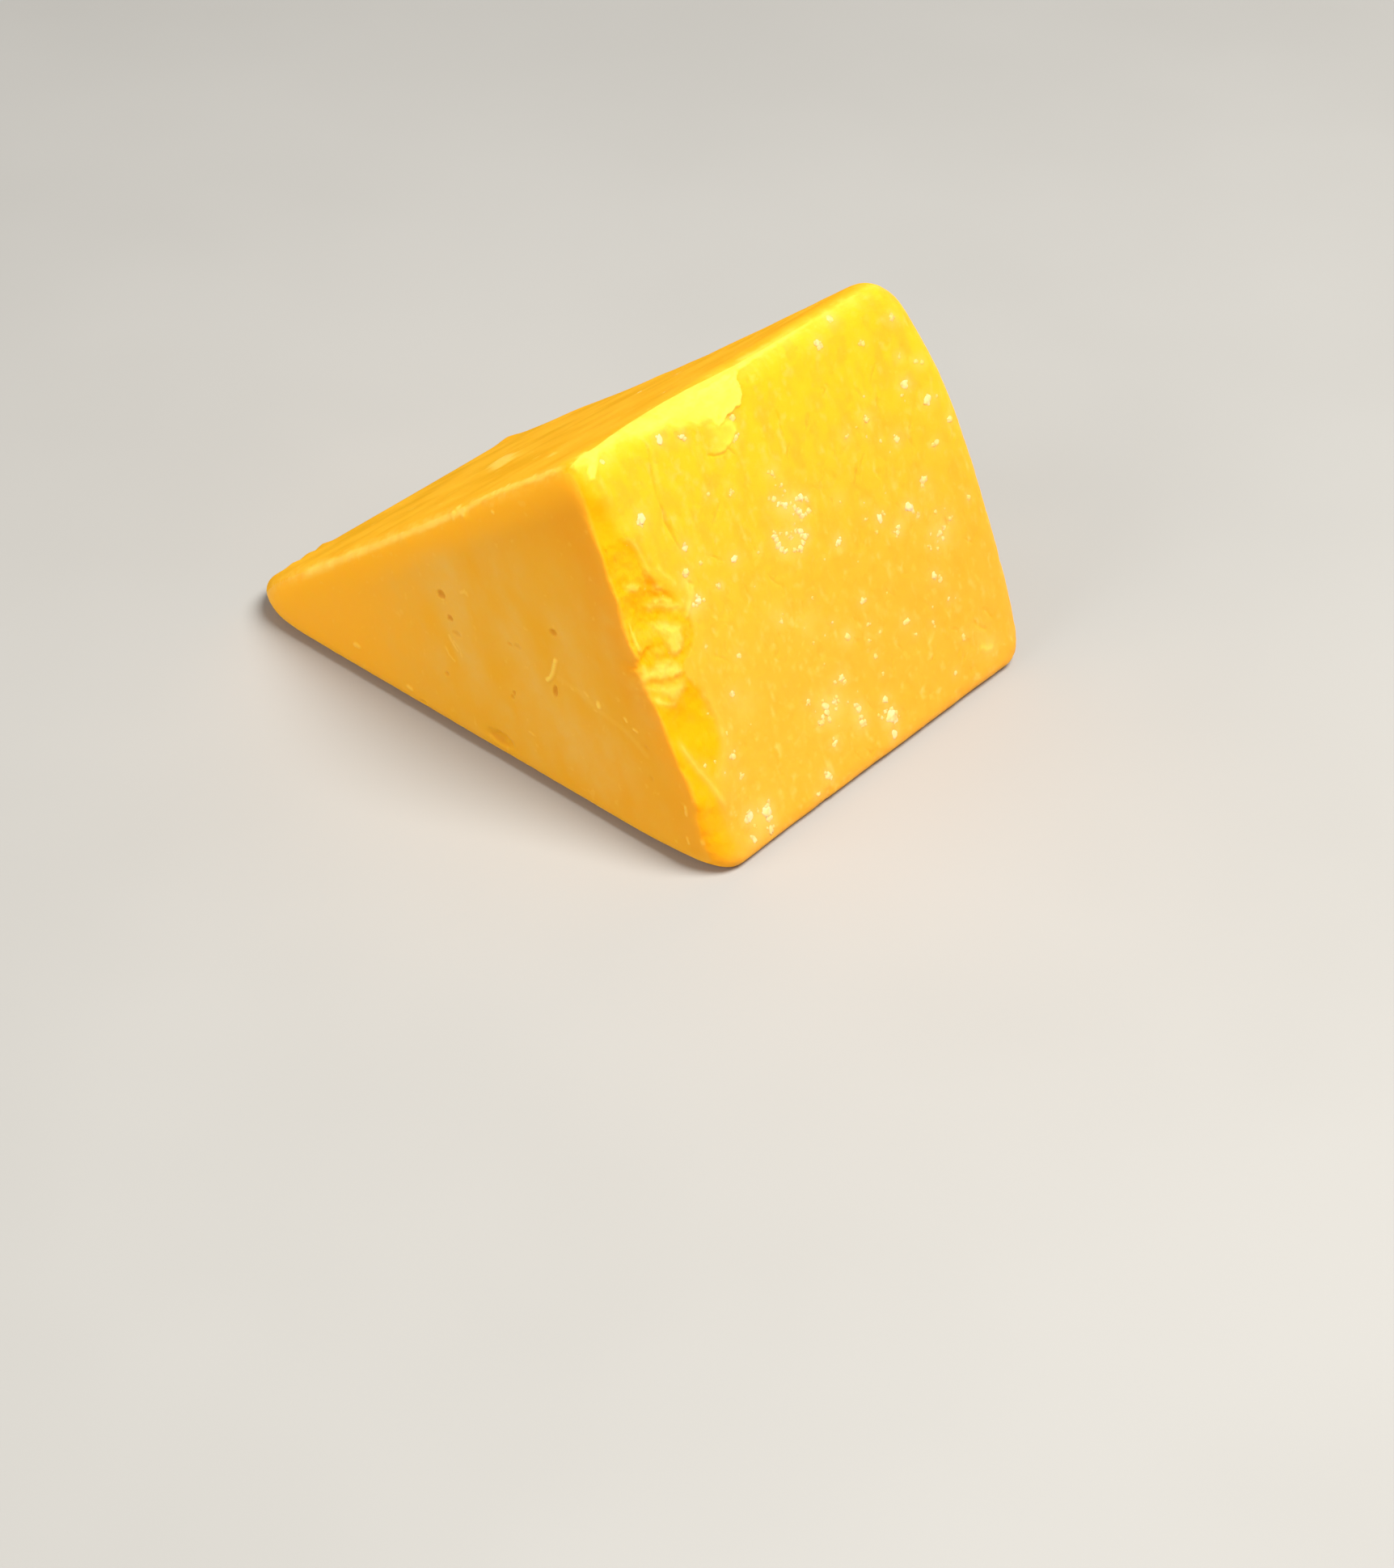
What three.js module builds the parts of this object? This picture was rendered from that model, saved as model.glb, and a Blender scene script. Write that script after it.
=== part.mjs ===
// A wedge of aged red leicester cheese, cut out of a wheel and lying on the
// larger of its two cut faces. Millimetres, +Z up. X runs from the thin tip to
// the outer side of the wheel, Y through the wheel's thickness, so the two
// triangular ends are the wheel's flat faces. The origin is at the middle of
// the bottom of the wedge's box.
import * as THREE from 'three';
import { mergeVertices } from 'three/addons/utils/BufferGeometryUtils.js';

// Where the faces would meet if every edge were sharp.
const TIP_FRONT = new THREE.Vector3(-54.05, -37.1, 0);
const TIP_BACK = new THREE.Vector3(-55.49, 24.42, 0);
const FOOT_FRONT = new THREE.Vector3(51.76, -36.75, 0);
const FOOT_BACK = new THREE.Vector3(51.2, 38.1, 0);
const RIDGE_FRONT = new THREE.Vector3(20.91, -34.46, 57.89);
const RIDGE_BACK = new THREE.Vector3(26.41, 31.9, 64.18);
const HEART = new THREE.Vector3(8.7, -0.79, 19);   // a point well inside

// Spans over which the faces warp and swell.
const SPAN_X = { from: -51.3, length: 74 };
const SPAN_Y = { from: -34.79, length: 66 };
const SPAN_Z = { from: 0, length: 58.5 };

// How wide the faces blend into each other at each edge and corner.
const BLEND_TIP = 6.74;
const BLEND_FOOT = 3.5;
const BLEND_RIDGE = 5.38;
const BLEND_FRONT = 3.0;
const BLEND_CUT_EDGE = 1.1;   // the crisp edge between front and outer side
const BLEND_BACK = 4.7;
const WEAR_FOOT_FRONT = { extra: 2.6, reach: 9 };
const WEAR_TIP_FRONT = { extra: 5.5, reach: 10 };
const WEAR_RIDGE_FRONT = { extra: 2.2, from: 44, to: 54 };
const WEAR_BOTTOM = { extra: 1.4, reach: 4 };
const WEAR_RIDGE_BACK = { extra: 6.2, reach: 13.5 };
const WEAR_FOOT_BACK = { extra: 2.34, reach: 10 };
const WEAR_TIP_BACK = { extra: 1.5, reach: 8 };

// Form of the faces: the outer side swells, the upper cut is a little hollow.
const SWELL_FRONT = 0.02;
const SWELL_BACK = 1.04;
const SWELL_SHIFT = -0.2;
const HOLLOW_UPPER = 1.63;
const SAG_UPPER = { depth: 0.5, at: -47, reach: 9 };   // near the tip, at the back
const BULGE_LOW = { height: 0.9, z: 14, reach: [9, 11] };
const KNIFE_WAVE = { height: 0.2, length: 12, drift: 0.05, unevenness: 5 };
const LUMP = { height: 0.16, length: 19 };

// The edge between the front face and the outer side is broken and uneven. How
// far the outer side stands out there, at each height in turn.
const EDGE_HEIGHTS = [0, 7, 10, 13, 15.4, 17.4, 20.5, 24, 26.5, 30.3, 33.5, 40, 43, 53, 58];
const EDGE_LIFTS = [0, -0.3, 0.1, 1.2, 1.5, 0.4, 0.9, 0.6, 0.2, 1.2, -0.1, 0.8, 0.6, 1.1, 0.6];
const EDGE_BROAD = { height: 0.8, reach: 9 };
const EDGE_FINE_REACH = 3.5;
// Flakes broken off just inside that edge, each a shallow hollow: its height on
// the edge, its way in from it, its depth, how far it leans to the front face,
// and its radius.
const CHIP_BLEND = 1.2;
const CHIPS = [
  { z: 49.0, inward: 2.6, depth: 0.4, lean: 0.15, radius: 6.5 },
  { z: 42.5, inward: 3.2, depth: 0.6, lean: 0.10, radius: 8.0 },
  { z: 36.5, inward: 4.2, depth: 1.0, lean: 0.12, radius: 9.0 },
  { z: 30.0, inward: 2.8, depth: 1.4, lean: 0.30, radius: 8.5 },
  { z: 22.0, inward: 4.7, depth: 0.75, lean: 0.05, radius: 11.0 },
  { z: 15.5, inward: 4.0, depth: 0.6, lean: 0.05, radius: 9.5 },
];
// Small bites out of the bottom edge of the front face and small lips left on
// the upper cut face: place, size and height.
const BITES = [
  { at: new THREE.Vector3(9, -37, 1.2), size: 3.2, depth: 1.3 },
  { at: new THREE.Vector3(-22, -37, 0.6), size: 3.6, depth: 0.5 },
];
const LIPS = [
  { at: new THREE.Vector3(-46.3, 22, 7), size: 4.2, height: 0.9 },
  { at: new THREE.Vector3(-31.5, 2, 17.2), size: 3.4, height: 0.4 },
];
// The thin flap smeared over the ridge.
const FLAP = { at: new THREE.Vector3(25, -8.5, 55.8), size: [5.5, 8.5, 4.6], height: 0.45 };

const DIVISIONS = 30;        // along each edge of each face
const EDGE_CROWDING = 0.62;  // how much closer the divisions lie at the edges
const SKIN_NEAR = 0.3;
const SKIN_FAR = 1.2;
const SKIN_STEPS = 40;

const CHEESE_COLOUR = 0xf0a930;
const CHEESE_ROUGHNESS = 0.45;

const clamp = (v, lo, hi) => Math.min(Math.max(v, lo), hi);
const along = (v, span, most = 1.1) => clamp((v - span.from) / span.length, 0, most);
const smooth = (lo, hi, v) => {
  const t = clamp((v - lo) / (hi - lo), 0, 1);
  return t * t * (3 - 2 * t);
};
const bell = (v, reach) => Math.exp(-((v / reach) ** 2));
const nearness = (p, q, reach) => Math.exp(-p.distanceToSquared(q) / (reach * reach));

function blendMax(a, b, k) {
  const h = Math.max(k - Math.abs(a - b), 0) / k;
  return Math.max(a, b) + h * h * k * 0.25;
}

// The plane through the middle of a face, with its normal pointing out.
function facePlane(a, b, c, d) {
  const middle = new THREE.Vector3();
  const corners = d ? [a, b, c, d] : [a, b, c];
  corners.forEach((v) => middle.addScaledVector(v, 1 / corners.length));
  const normal = d
    ? c.clone().sub(a).cross(b.clone().sub(d))
    : b.clone().sub(a).cross(c.clone().sub(a));
  normal.normalize();
  if (middle.clone().sub(HEART).dot(normal) < 0) normal.negate();
  return { middle, normal };
}
const height = (p, plane) => (p.x - plane.middle.x) * plane.normal.x
  + (p.y - plane.middle.y) * plane.normal.y + (p.z - plane.middle.z) * plane.normal.z;

const front = facePlane(TIP_FRONT, RIDGE_FRONT, FOOT_FRONT);
const back = facePlane(TIP_BACK, RIDGE_BACK, FOOT_BACK);
const upper = facePlane(TIP_FRONT, RIDGE_FRONT, RIDGE_BACK, TIP_BACK);
const outer = facePlane(RIDGE_FRONT, FOOT_FRONT, FOOT_BACK, RIDGE_BACK);
const upperTwist = height(TIP_FRONT, upper);
const outerTwist = height(FOOT_FRONT, outer);

const inwards = new THREE.Vector3(0, 1, 0)
  .addScaledVector(outer.normal, -outer.normal.y).normalize();

// How far the outer side stands out at height z along its front edge.
function edgeLift(z) {
  const last = EDGE_HEIGHTS.length - 1;
  if (z <= EDGE_HEIGHTS[0]) return EDGE_LIFTS[0];
  if (z >= EDGE_HEIGHTS[last]) return EDGE_LIFTS[last];
  const i = EDGE_HEIGHTS.findIndex((h) => h > z);
  const f = (z - EDGE_HEIGHTS[i - 1]) / (EDGE_HEIGHTS[i] - EDGE_HEIGHTS[i - 1]);
  return EDGE_LIFTS[i - 1] + (EDGE_LIFTS[i] - EDGE_LIFTS[i - 1]) * f;
}

// Centres of the hollows left by the broken flakes.
const hollows = CHIPS.map((chip) => {
  const centre = FOOT_FRONT.clone().lerp(RIDGE_FRONT, chip.z / RIDGE_FRONT.z);
  const out = outer.normal.clone().addScaledVector(front.normal, chip.lean).normalize();
  centre.addScaledVector(inwards, chip.inward);
  centre.addScaledVector(outer.normal, edgeLift(chip.z));
  return { ...chip, centre: centre.addScaledVector(out, chip.radius - chip.depth) };
});

// Negative inside the cheese, positive outside, zero on its surface.
function outside(p) {
  const t = along(p.x, SPAN_X, 1);
  const w = along(p.y, SPAN_Y);
  const v = along(p.y, SPAN_Y, 1.05);
  const s = along(p.z, SPAN_Z, 1);

  const wave = KNIFE_WAVE.height * (0.55 + 0.45 * Math.sin(p.x / 13 + p.y / 29))
    * Math.sin((2 * Math.PI * (p.x + 2.2 * Math.sin(KNIFE_WAVE.drift * p.y)
      + KNIFE_WAVE.unevenness * Math.sin(p.x / 11))) / KNIFE_WAVE.length);
  const lump = LUMP.height * Math.sin((2 * Math.PI * p.y) / LUMP.length + 1.3 * Math.sin(p.z / 9))
    * Math.sin((2 * Math.PI * p.z) / (1.4 * LUMP.length) - p.y / 13);

  const end = height(p, front);
  const broad = EDGE_BROAD.height * smooth(6, 12, p.z) * smooth(62, 55, p.z);
  const base = -p.z;
  let top = height(p, upper) - upperTwist * (1 - 2 * t) * (1 - 2 * v)
    + HOLLOW_UPPER * 4 * t * (1 - t) * w * w - wave
    + SAG_UPPER.depth * bell(p.x - SAG_UPPER.at, SAG_UPPER.reach) * w;
  const side = height(p, outer) - outerTwist * (1 - 2 * s) * (1 - 2 * v)
    - 4 * s * (1 - s) * (SWELL_FRONT + (SWELL_BACK - SWELL_FRONT) * w * w)
    - SWELL_SHIFT * Math.sin(2 * Math.PI * s) - lump * Math.min(1, 3 * s)
    - BULGE_LOW.height * bell(end, BULGE_LOW.reach[0]) * bell(p.z - BULGE_LOW.z, BULGE_LOW.reach[1])
    - broad * bell(end, EDGE_BROAD.reach) - (edgeLift(p.z) - broad) * bell(end, EDGE_FINE_REACH);
  for (const lip of LIPS) top -= lip.height * nearness(p, lip.at, lip.size);

  let f = blendMax(base, top, BLEND_TIP);
  f = blendMax(f, side, BLEND_FOOT + (BLEND_RIDGE - BLEND_FOOT) * s);
  const cut = bell(side, 4) * smooth(-3, -8, top) * smooth(2, 9, p.z);
  f = blendMax(f, end, BLEND_FRONT + (BLEND_CUT_EDGE - BLEND_FRONT) * cut
    + WEAR_RIDGE_FRONT.extra * cut * smooth(WEAR_RIDGE_FRONT.from, WEAR_RIDGE_FRONT.to, p.z)
    + WEAR_BOTTOM.extra * bell(p.z, WEAR_BOTTOM.reach)
    + WEAR_FOOT_FRONT.extra * nearness(p, FOOT_FRONT, WEAR_FOOT_FRONT.reach)
    + WEAR_TIP_FRONT.extra * nearness(p, TIP_FRONT, WEAR_TIP_FRONT.reach));
  f = blendMax(f, height(p, back), BLEND_BACK
    + WEAR_RIDGE_BACK.extra * nearness(p, RIDGE_BACK, WEAR_RIDGE_BACK.reach)
    + WEAR_FOOT_BACK.extra * nearness(p, FOOT_BACK, WEAR_FOOT_BACK.reach)
    + WEAR_TIP_BACK.extra * nearness(p, TIP_BACK, WEAR_TIP_BACK.reach));

  for (const hollow of hollows) {
    f = blendMax(f, hollow.radius - p.distanceTo(hollow.centre), CHIP_BLEND);
  }
  for (const bite of BITES) f += bite.depth * nearness(p, bite.at, bite.size);
  const dx = (p.x - FLAP.at.x) / FLAP.size[0];
  const dy = (p.y - FLAP.at.y) / FLAP.size[1];
  const dz = (p.z - FLAP.at.z) / FLAP.size[2];
  f -= FLAP.height * Math.exp(-((dx * dx + dy * dy + dz * dz) ** 2));
  return Math.max(f, -p.z);
}

// Slides a point of the sharp wedge along the line from the heart of the
// cheese until it lies on the surface.
function toSurface(v) {
  const ray = v.clone().sub(HEART);
  const p = new THREE.Vector3();
  let near = SKIN_NEAR;
  let far = SKIN_FAR;
  for (let i = 0; i < SKIN_STEPS; i += 1) {
    const mid = (near + far) / 2;
    p.copy(HEART).addScaledVector(ray, mid);
    if (outside(p) > 0) far = mid; else near = mid;
  }
  return p;
}

const crowd = (t) => t - (EDGE_CROWDING * Math.sin(2 * Math.PI * t)) / (2 * Math.PI);

const positions = [];
const triangles = [];
function addPoint(v) {
  const p = toSurface(v);
  positions.push(p.x, p.y, p.z);
  return positions.length / 3 - 1;
}

// A three-cornered face, its corners anticlockwise as seen from outside.
function addEnd(a, b, c) {
  const n = DIVISIONS;
  const at = [];
  for (let i = 0; i <= n; i += 1) {
    at.push([]);
    for (let j = 0; j <= n - i; j += 1) {
      const wa = crowd(i / n);
      const wb = crowd(j / n);
      const wc = crowd((n - i - j) / n);
      const sum = wa + wb + wc;
      at[i].push(addPoint(new THREE.Vector3()
        .addScaledVector(a, wa / sum).addScaledVector(b, wb / sum).addScaledVector(c, wc / sum)));
    }
  }
  for (let i = 0; i < n; i += 1) {
    for (let j = 0; j < n - i; j += 1) {
      triangles.push(at[i][j], at[i + 1][j], at[i][j + 1]);
      if (j < n - i - 1) triangles.push(at[i + 1][j], at[i + 1][j + 1], at[i][j + 1]);
    }
  }
}

// A four-cornered face, its corners anticlockwise as seen from outside.
function addSide(a, b, c, d) {
  const n = DIVISIONS;
  const at = [];
  for (let i = 0; i <= n; i += 1) {
    at.push([]);
    for (let j = 0; j <= n; j += 1) {
      const u = crowd(i / n);
      const v = crowd(j / n);
      at[i].push(addPoint(new THREE.Vector3()
        .addScaledVector(a, (1 - u) * (1 - v)).addScaledVector(b, u * (1 - v))
        .addScaledVector(c, u * v).addScaledVector(d, (1 - u) * v)));
    }
  }
  for (let i = 0; i < n; i += 1) {
    for (let j = 0; j < n; j += 1) {
      triangles.push(at[i][j], at[i + 1][j], at[i + 1][j + 1]);
      triangles.push(at[i][j], at[i + 1][j + 1], at[i][j + 1]);
    }
  }
}

addEnd(TIP_FRONT, FOOT_FRONT, RIDGE_FRONT);
addEnd(TIP_BACK, RIDGE_BACK, FOOT_BACK);
addSide(TIP_FRONT, TIP_BACK, FOOT_BACK, FOOT_FRONT);
addSide(TIP_FRONT, RIDGE_FRONT, RIDGE_BACK, TIP_BACK);
addSide(RIDGE_FRONT, FOOT_FRONT, FOOT_BACK, RIDGE_BACK);

let geometry = new THREE.BufferGeometry();
geometry.setAttribute('position', new THREE.Float32BufferAttribute(positions, 3));
geometry.setIndex(triangles);
geometry = mergeVertices(geometry, 1e-3);
geometry.computeBoundingBox();
const box = geometry.boundingBox;
geometry.translate(-(box.min.x + box.max.x) / 2, -(box.min.y + box.max.y) / 2, -box.min.z);
geometry.computeVertexNormals();

const cheese = new THREE.Mesh(geometry, new THREE.MeshStandardMaterial({
  color: CHEESE_COLOUR,
  roughness: CHEESE_ROUGHNESS,
  metalness: 0,
}));
cheese.name = 'cheese';

const wedge = new THREE.Group();
wedge.add(cheese);

export default wedge;
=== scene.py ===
"""A wedge of aged red leicester cheese, lying on a cut face on a pale floor.

The form is worked out in millimetres in the row frame and turned into metres
where the meshes are made.
"""

import math

import bpy
import numpy as np
from mathutils import Matrix


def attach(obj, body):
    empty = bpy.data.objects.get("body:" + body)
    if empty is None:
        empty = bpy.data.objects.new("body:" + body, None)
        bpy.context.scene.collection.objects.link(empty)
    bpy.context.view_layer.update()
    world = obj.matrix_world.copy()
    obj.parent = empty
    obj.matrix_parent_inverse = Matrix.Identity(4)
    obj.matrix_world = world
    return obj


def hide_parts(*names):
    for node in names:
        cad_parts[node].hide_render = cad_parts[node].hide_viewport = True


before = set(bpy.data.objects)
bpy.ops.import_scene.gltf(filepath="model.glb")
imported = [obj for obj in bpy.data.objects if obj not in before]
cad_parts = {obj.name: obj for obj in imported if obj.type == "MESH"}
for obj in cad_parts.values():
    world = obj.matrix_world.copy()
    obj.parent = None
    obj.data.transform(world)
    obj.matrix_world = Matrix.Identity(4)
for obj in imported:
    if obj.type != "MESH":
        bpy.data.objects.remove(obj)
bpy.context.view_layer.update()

MM = 0.001
RANDOM = np.random.default_rng(417)

# ---------------------------------------------------------------- camera
# The picture is FRAME_W by FRAME_H, and FOCAL is the lens in its pixels.
FRAME_W, FRAME_H, FOCAL = 1724.0, 1939.0, 4000.0
EYE = np.array([281.9, -296.19, 302.4])
RIGHT = np.array([0.74129, 0.67118, 0.0])
AHEAD = np.array([-0.5202, 0.57454, -0.63189])
RIGHT = RIGHT / np.linalg.norm(RIGHT)
AHEAD = AHEAD / np.linalg.norm(AHEAD)
UP = np.cross(RIGHT, AHEAD)
UP = UP / np.linalg.norm(UP)

# ---------------------------------------------------------------- the wedge
# Where the faces would meet if every edge were sharp.
TIP_FRONT = np.array([-54.05, -37.1, 0.0])
TIP_BACK = np.array([-55.49, 24.42, 0.0])
FOOT_FRONT = np.array([51.76, -36.75, 0.0])
FOOT_BACK = np.array([51.2, 38.1, 0.0])
RIDGE_FRONT = np.array([20.91, -34.46, 57.89])
RIDGE_BACK = np.array([26.41, 31.9, 64.18])
HEART = np.array([8.7, -0.79, 19.0])

BLEND_TIP, BLEND_FOOT, BLEND_RIDGE = 6.74, 3.5, 5.38
BLEND_FRONT, BLEND_CUT_EDGE, BLEND_BACK = 3.0, 1.1, 4.7
SWELL_FRONT, SWELL_BACK, SWELL_SHIFT, HOLLOW_UPPER = 0.02, 1.04, -0.2, 1.63

# Flakes broken from the edge between the front face and the outer side: height
# on that edge, way in from it, depth, lean to the front, radius, and blend.
EDGE_LIFT = np.array([
    # height, how far the outer side stands out at its front edge
    (0.0, 0.0), (7.0, -0.3), (10.0, 0.1), (13.0, 1.2), (15.4, 1.5), (17.4, 0.4), (20.5, 0.9), (24.0, 0.6),
    (26.5, 0.2), (30.3, 1.2), (33.5, -0.1), (40.0, 0.8), (43.0, 0.6), (53.0, 1.1), (58.0, 0.6),
])
CHIPS = [
    (49.0, 2.6, 0.4, 0.15, 6.5, 1.2),
    (42.5, 3.2, 0.6, 0.10, 8.0, 1.2),
    (36.5, 4.2, 1.0, 0.12, 9.0, 1.2),
    (30.0, 2.8, 1.4, 0.30, 8.5, 1.2),
    (22.0, 4.7, 0.75, 0.05, 11.0, 1.2),
    (15.5, 4.0, 0.6, 0.05, 9.5, 1.2),
]


def soft_max(a, b, k):
    h = np.maximum(k - np.abs(a - b), 0) / k
    return np.maximum(a, b) + h * h * k * 0.25


def near(p, q, reach):
    return np.exp(-((p - np.asarray(q)) ** 2).sum(-1) / (reach * reach))


def smooth(lo, hi, v):
    t = np.clip((v - lo) / (hi - lo), 0, 1)
    return t * t * (3 - 2 * t)


def edge_lift(z):
    return np.interp(z, EDGE_LIFT[:, 0], EDGE_LIFT[:, 1])


def unit(v):
    return v / np.linalg.norm(v)


class Face:
    """The plane through the middle of a face, its normal out, with two axes."""

    def __init__(self, corners, along):
        self.middle = np.mean(corners, axis=0)
        if len(corners) == 4:
            n = np.cross(corners[2] - corners[0], corners[1] - corners[3])
        else:
            n = np.cross(corners[1] - corners[0], corners[2] - corners[0])
        n = unit(n)
        self.normal = n if (self.middle - HEART) @ n > 0 else -n
        self.u = unit(along - (along @ self.normal) * self.normal)
        self.v = np.cross(self.normal, self.u)

    def height(self, p):
        return (p - self.middle) @ self.normal

    def flat(self, p):
        q = p - self.middle
        return np.stack([q @ self.u, q @ self.v], -1)


FRONT = Face([TIP_FRONT, RIDGE_FRONT, FOOT_FRONT], np.array([1.0, 0, 0]))
BACK = Face([TIP_BACK, RIDGE_BACK, FOOT_BACK], np.array([-1.0, 0, 0]))
UPPER = Face([TIP_FRONT, RIDGE_FRONT, RIDGE_BACK, TIP_BACK], np.array([0, -1.0, 0]))
OUTER = Face([RIDGE_FRONT, FOOT_FRONT, FOOT_BACK, RIDGE_BACK], np.array([0, 1.0, 0]))
UPPER_TWIST = UPPER.height(TIP_FRONT)
OUTER_TWIST = OUTER.height(FOOT_FRONT)

HOLLOWS = []
for z, inward, depth, lean, radius, blend in CHIPS:
    edge = FOOT_FRONT + (RIDGE_FRONT - FOOT_FRONT) * (z / RIDGE_FRONT[2])
    out = unit(OUTER.normal + lean * FRONT.normal)
    centre = edge + OUTER.u * inward + OUTER.normal * edge_lift(z) + out * (radius - depth)
    HOLLOWS.append((centre, radius, blend))


def faces_of(p):
    """Signed height of p over the base, front, back, upper and outer faces."""
    x, y, z = p[..., 0], p[..., 1], p[..., 2]
    t = np.clip((x + 51.3) / 74, 0, 1)
    w = np.clip((y + 34.79) / 66, 0, 1.1)
    v = np.clip(w, 0, 1.05)
    s = np.clip(z / 58.5, 0, 1)
    upper = (
        UPPER.height(p)
        - UPPER_TWIST * (1 - 2 * t) * (1 - 2 * v)
        + HOLLOW_UPPER * 4 * t * (1 - t) * w * w
        + 0.50 * np.exp(-(((x + 47) / 9) ** 2)) * w
    )
    front = FRONT.height(p)
    broad = 0.8 * smooth(6, 12, z) * smooth(62, 55, z)
    outer = (
        OUTER.height(p)
        - OUTER_TWIST * (1 - 2 * s) * (1 - 2 * v)
        - 4 * s * (1 - s) * (SWELL_FRONT + (SWELL_BACK - SWELL_FRONT) * w * w)
        - SWELL_SHIFT * np.sin(2 * np.pi * s)
        - 0.9 * np.exp(-((front / 9) ** 2) - ((z - 14) / 11) ** 2)
        - broad * np.exp(-((front / 9) ** 2))
        - (edge_lift(z) - broad) * np.exp(-((front / 3.5) ** 2))
    )
    return -z, front, BACK.height(p), upper, outer


def outside(p):
    """Negative inside the cheese and positive outside it."""
    base, front, back, upper, outer = faces_of(p)
    s = np.clip(p[..., 2] / 58.5, 0, 1)
    f = soft_max(base, upper, BLEND_TIP)
    f = soft_max(f, outer, BLEND_FOOT + (BLEND_RIDGE - BLEND_FOOT) * s)
    cut = np.exp(-((outer / 4) ** 2)) * smooth(-3, -8, upper) * smooth(2, 9, p[..., 2])
    f = soft_max(
        f,
        front,
        BLEND_FRONT
        + (BLEND_CUT_EDGE - BLEND_FRONT) * cut
        + 2.2 * cut * smooth(44, 54, p[..., 2])
        + 1.4 * np.exp(-((p[..., 2] / 4) ** 2))
        + 2.6 * near(p, FOOT_FRONT, 9)
        + 5.5 * near(p, TIP_FRONT, 10),
    )
    f = soft_max(
        f,
        back,
        BLEND_BACK
        + 6.2 * near(p, RIDGE_BACK, 13.5)
        + 2.34 * near(p, FOOT_BACK, 10)
        + 1.5 * near(p, TIP_BACK, 8),
    )
    for centre, radius, blend in HOLLOWS:
        f = soft_max(f, radius - np.linalg.norm(p - centre, axis=-1), blend)
    return f


def to_surface(points, lo=0.3, hi=1.2, steps=30):
    """Slides points along the lines from the heart until they lie on the skin."""
    ray = points - HEART
    lo = np.full(len(points), lo)
    hi = np.full(len(points), hi)
    for _ in range(steps):
        mid = (lo + hi) / 2
        out = outside(HEART + ray * mid[:, None]) > 0
        hi = np.where(out, mid, hi)
        lo = np.where(out, lo, mid)
    return HEART + ray * ((lo + hi) / 2)[:, None]


def spots(pixels, steps=1200):
    """The points of the skin that lie behind these pixels of the picture."""
    px = np.asarray(pixels, float)
    d = (
        AHEAD
        + np.outer((px[:, 0] - FRAME_W / 2) / FOCAL, RIGHT)
        - np.outer((px[:, 1] - FRAME_H / 2) / FOCAL, UP)
    )
    s = np.linspace(380, 620, steps)
    ray = EYE + s[None, :, None] * d[:, None, :]
    f = outside(ray)
    i = np.where((f <= 0).any(1), (f <= 0).argmax(1), f.argmin(1))
    lo = s[np.maximum(i - 1, 0)]
    hi = s[i]
    for _ in range(20):
        mid = (lo + hi) / 2
        inside = outside(EYE + mid[:, None] * d) <= 0
        hi = np.where(inside, mid, hi)
        lo = np.where(inside, lo, mid)
    return EYE + hi[:, None] * d


# ---------------------------------------------------------------- noise
GRADIENTS = RANDOM.normal(size=(256, 3))
GRADIENTS /= np.linalg.norm(GRADIENTS, axis=1)[:, None]


def _hash(ix, iy, iz, seed):
    h = (
        ix.astype(np.uint32) * np.uint32(374761393)
        + iy.astype(np.uint32) * np.uint32(668265263)
        + iz.astype(np.uint32) * np.uint32(2147483647)
        + np.uint32(seed * 974634777 & 0xFFFFFFFF)
    )
    h = (h ^ (h >> np.uint32(13))) * np.uint32(1274126177)
    return h ^ (h >> np.uint32(16))


def noise(p, seed=0):
    """Smooth gradient noise, about -1 to 1."""
    i = np.floor(p).astype(np.int64)
    f = p - i
    w = f * f * f * (f * (f * 6 - 15) + 10)
    total = np.zeros(len(p))
    for dx in (0, 1):
        for dy in (0, 1):
            for dz in (0, 1):
                h = _hash(i[:, 0] + dx, i[:, 1] + dy, i[:, 2] + dz, seed) & np.uint32(255)
                g = GRADIENTS[h]
                d = (g * (f - np.array([dx, dy, dz]))).sum(1)
                total += (
                    d
                    * (w[:, 0] if dx else 1 - w[:, 0])
                    * (w[:, 1] if dy else 1 - w[:, 1])
                    * (w[:, 2] if dz else 1 - w[:, 2])
                )
    return total * 1.6


def fbm(p, seed=0, octaves=4, gain=0.5):
    total, amount, norm = np.zeros(len(p)), 1.0, 0.0
    for k in range(octaves):
        total += amount * noise(p * (2.03**k) + 17.3 * k, seed + k)
        norm += amount
        amount *= gain
    return total / norm


def ridges(p, seed=0, octaves=3):
    total, amount, norm = np.zeros(len(p)), 1.0, 0.0
    for k in range(octaves):
        total += amount * (1 - 2 * np.abs(noise(p * (2.1**k) + 9.1 * k, seed + k)))
        norm += amount
        amount *= 0.5
    return total / norm


# ---------------------------------------------------------------- distances
def to_line(p, points):
    """Distance of each p to a broken line, and how far along it, 0 to 1."""
    best = np.full(len(p), 1e9)
    where = np.zeros(len(p))
    lengths = np.linalg.norm(np.diff(points, axis=0), axis=1)
    total, start = lengths.sum(), 0.0
    for a, b, length in zip(points[:-1], points[1:], lengths):
        t = np.clip((p - a) @ (b - a) / (length * length), 0, 1)
        d = np.linalg.norm(p - a - t[:, None] * (b - a), axis=1)
        closer = d < best
        best = np.where(closer, d, best)
        where = np.where(closer, (start + t * length) / total, where)
        start += length
    return best, where


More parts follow.
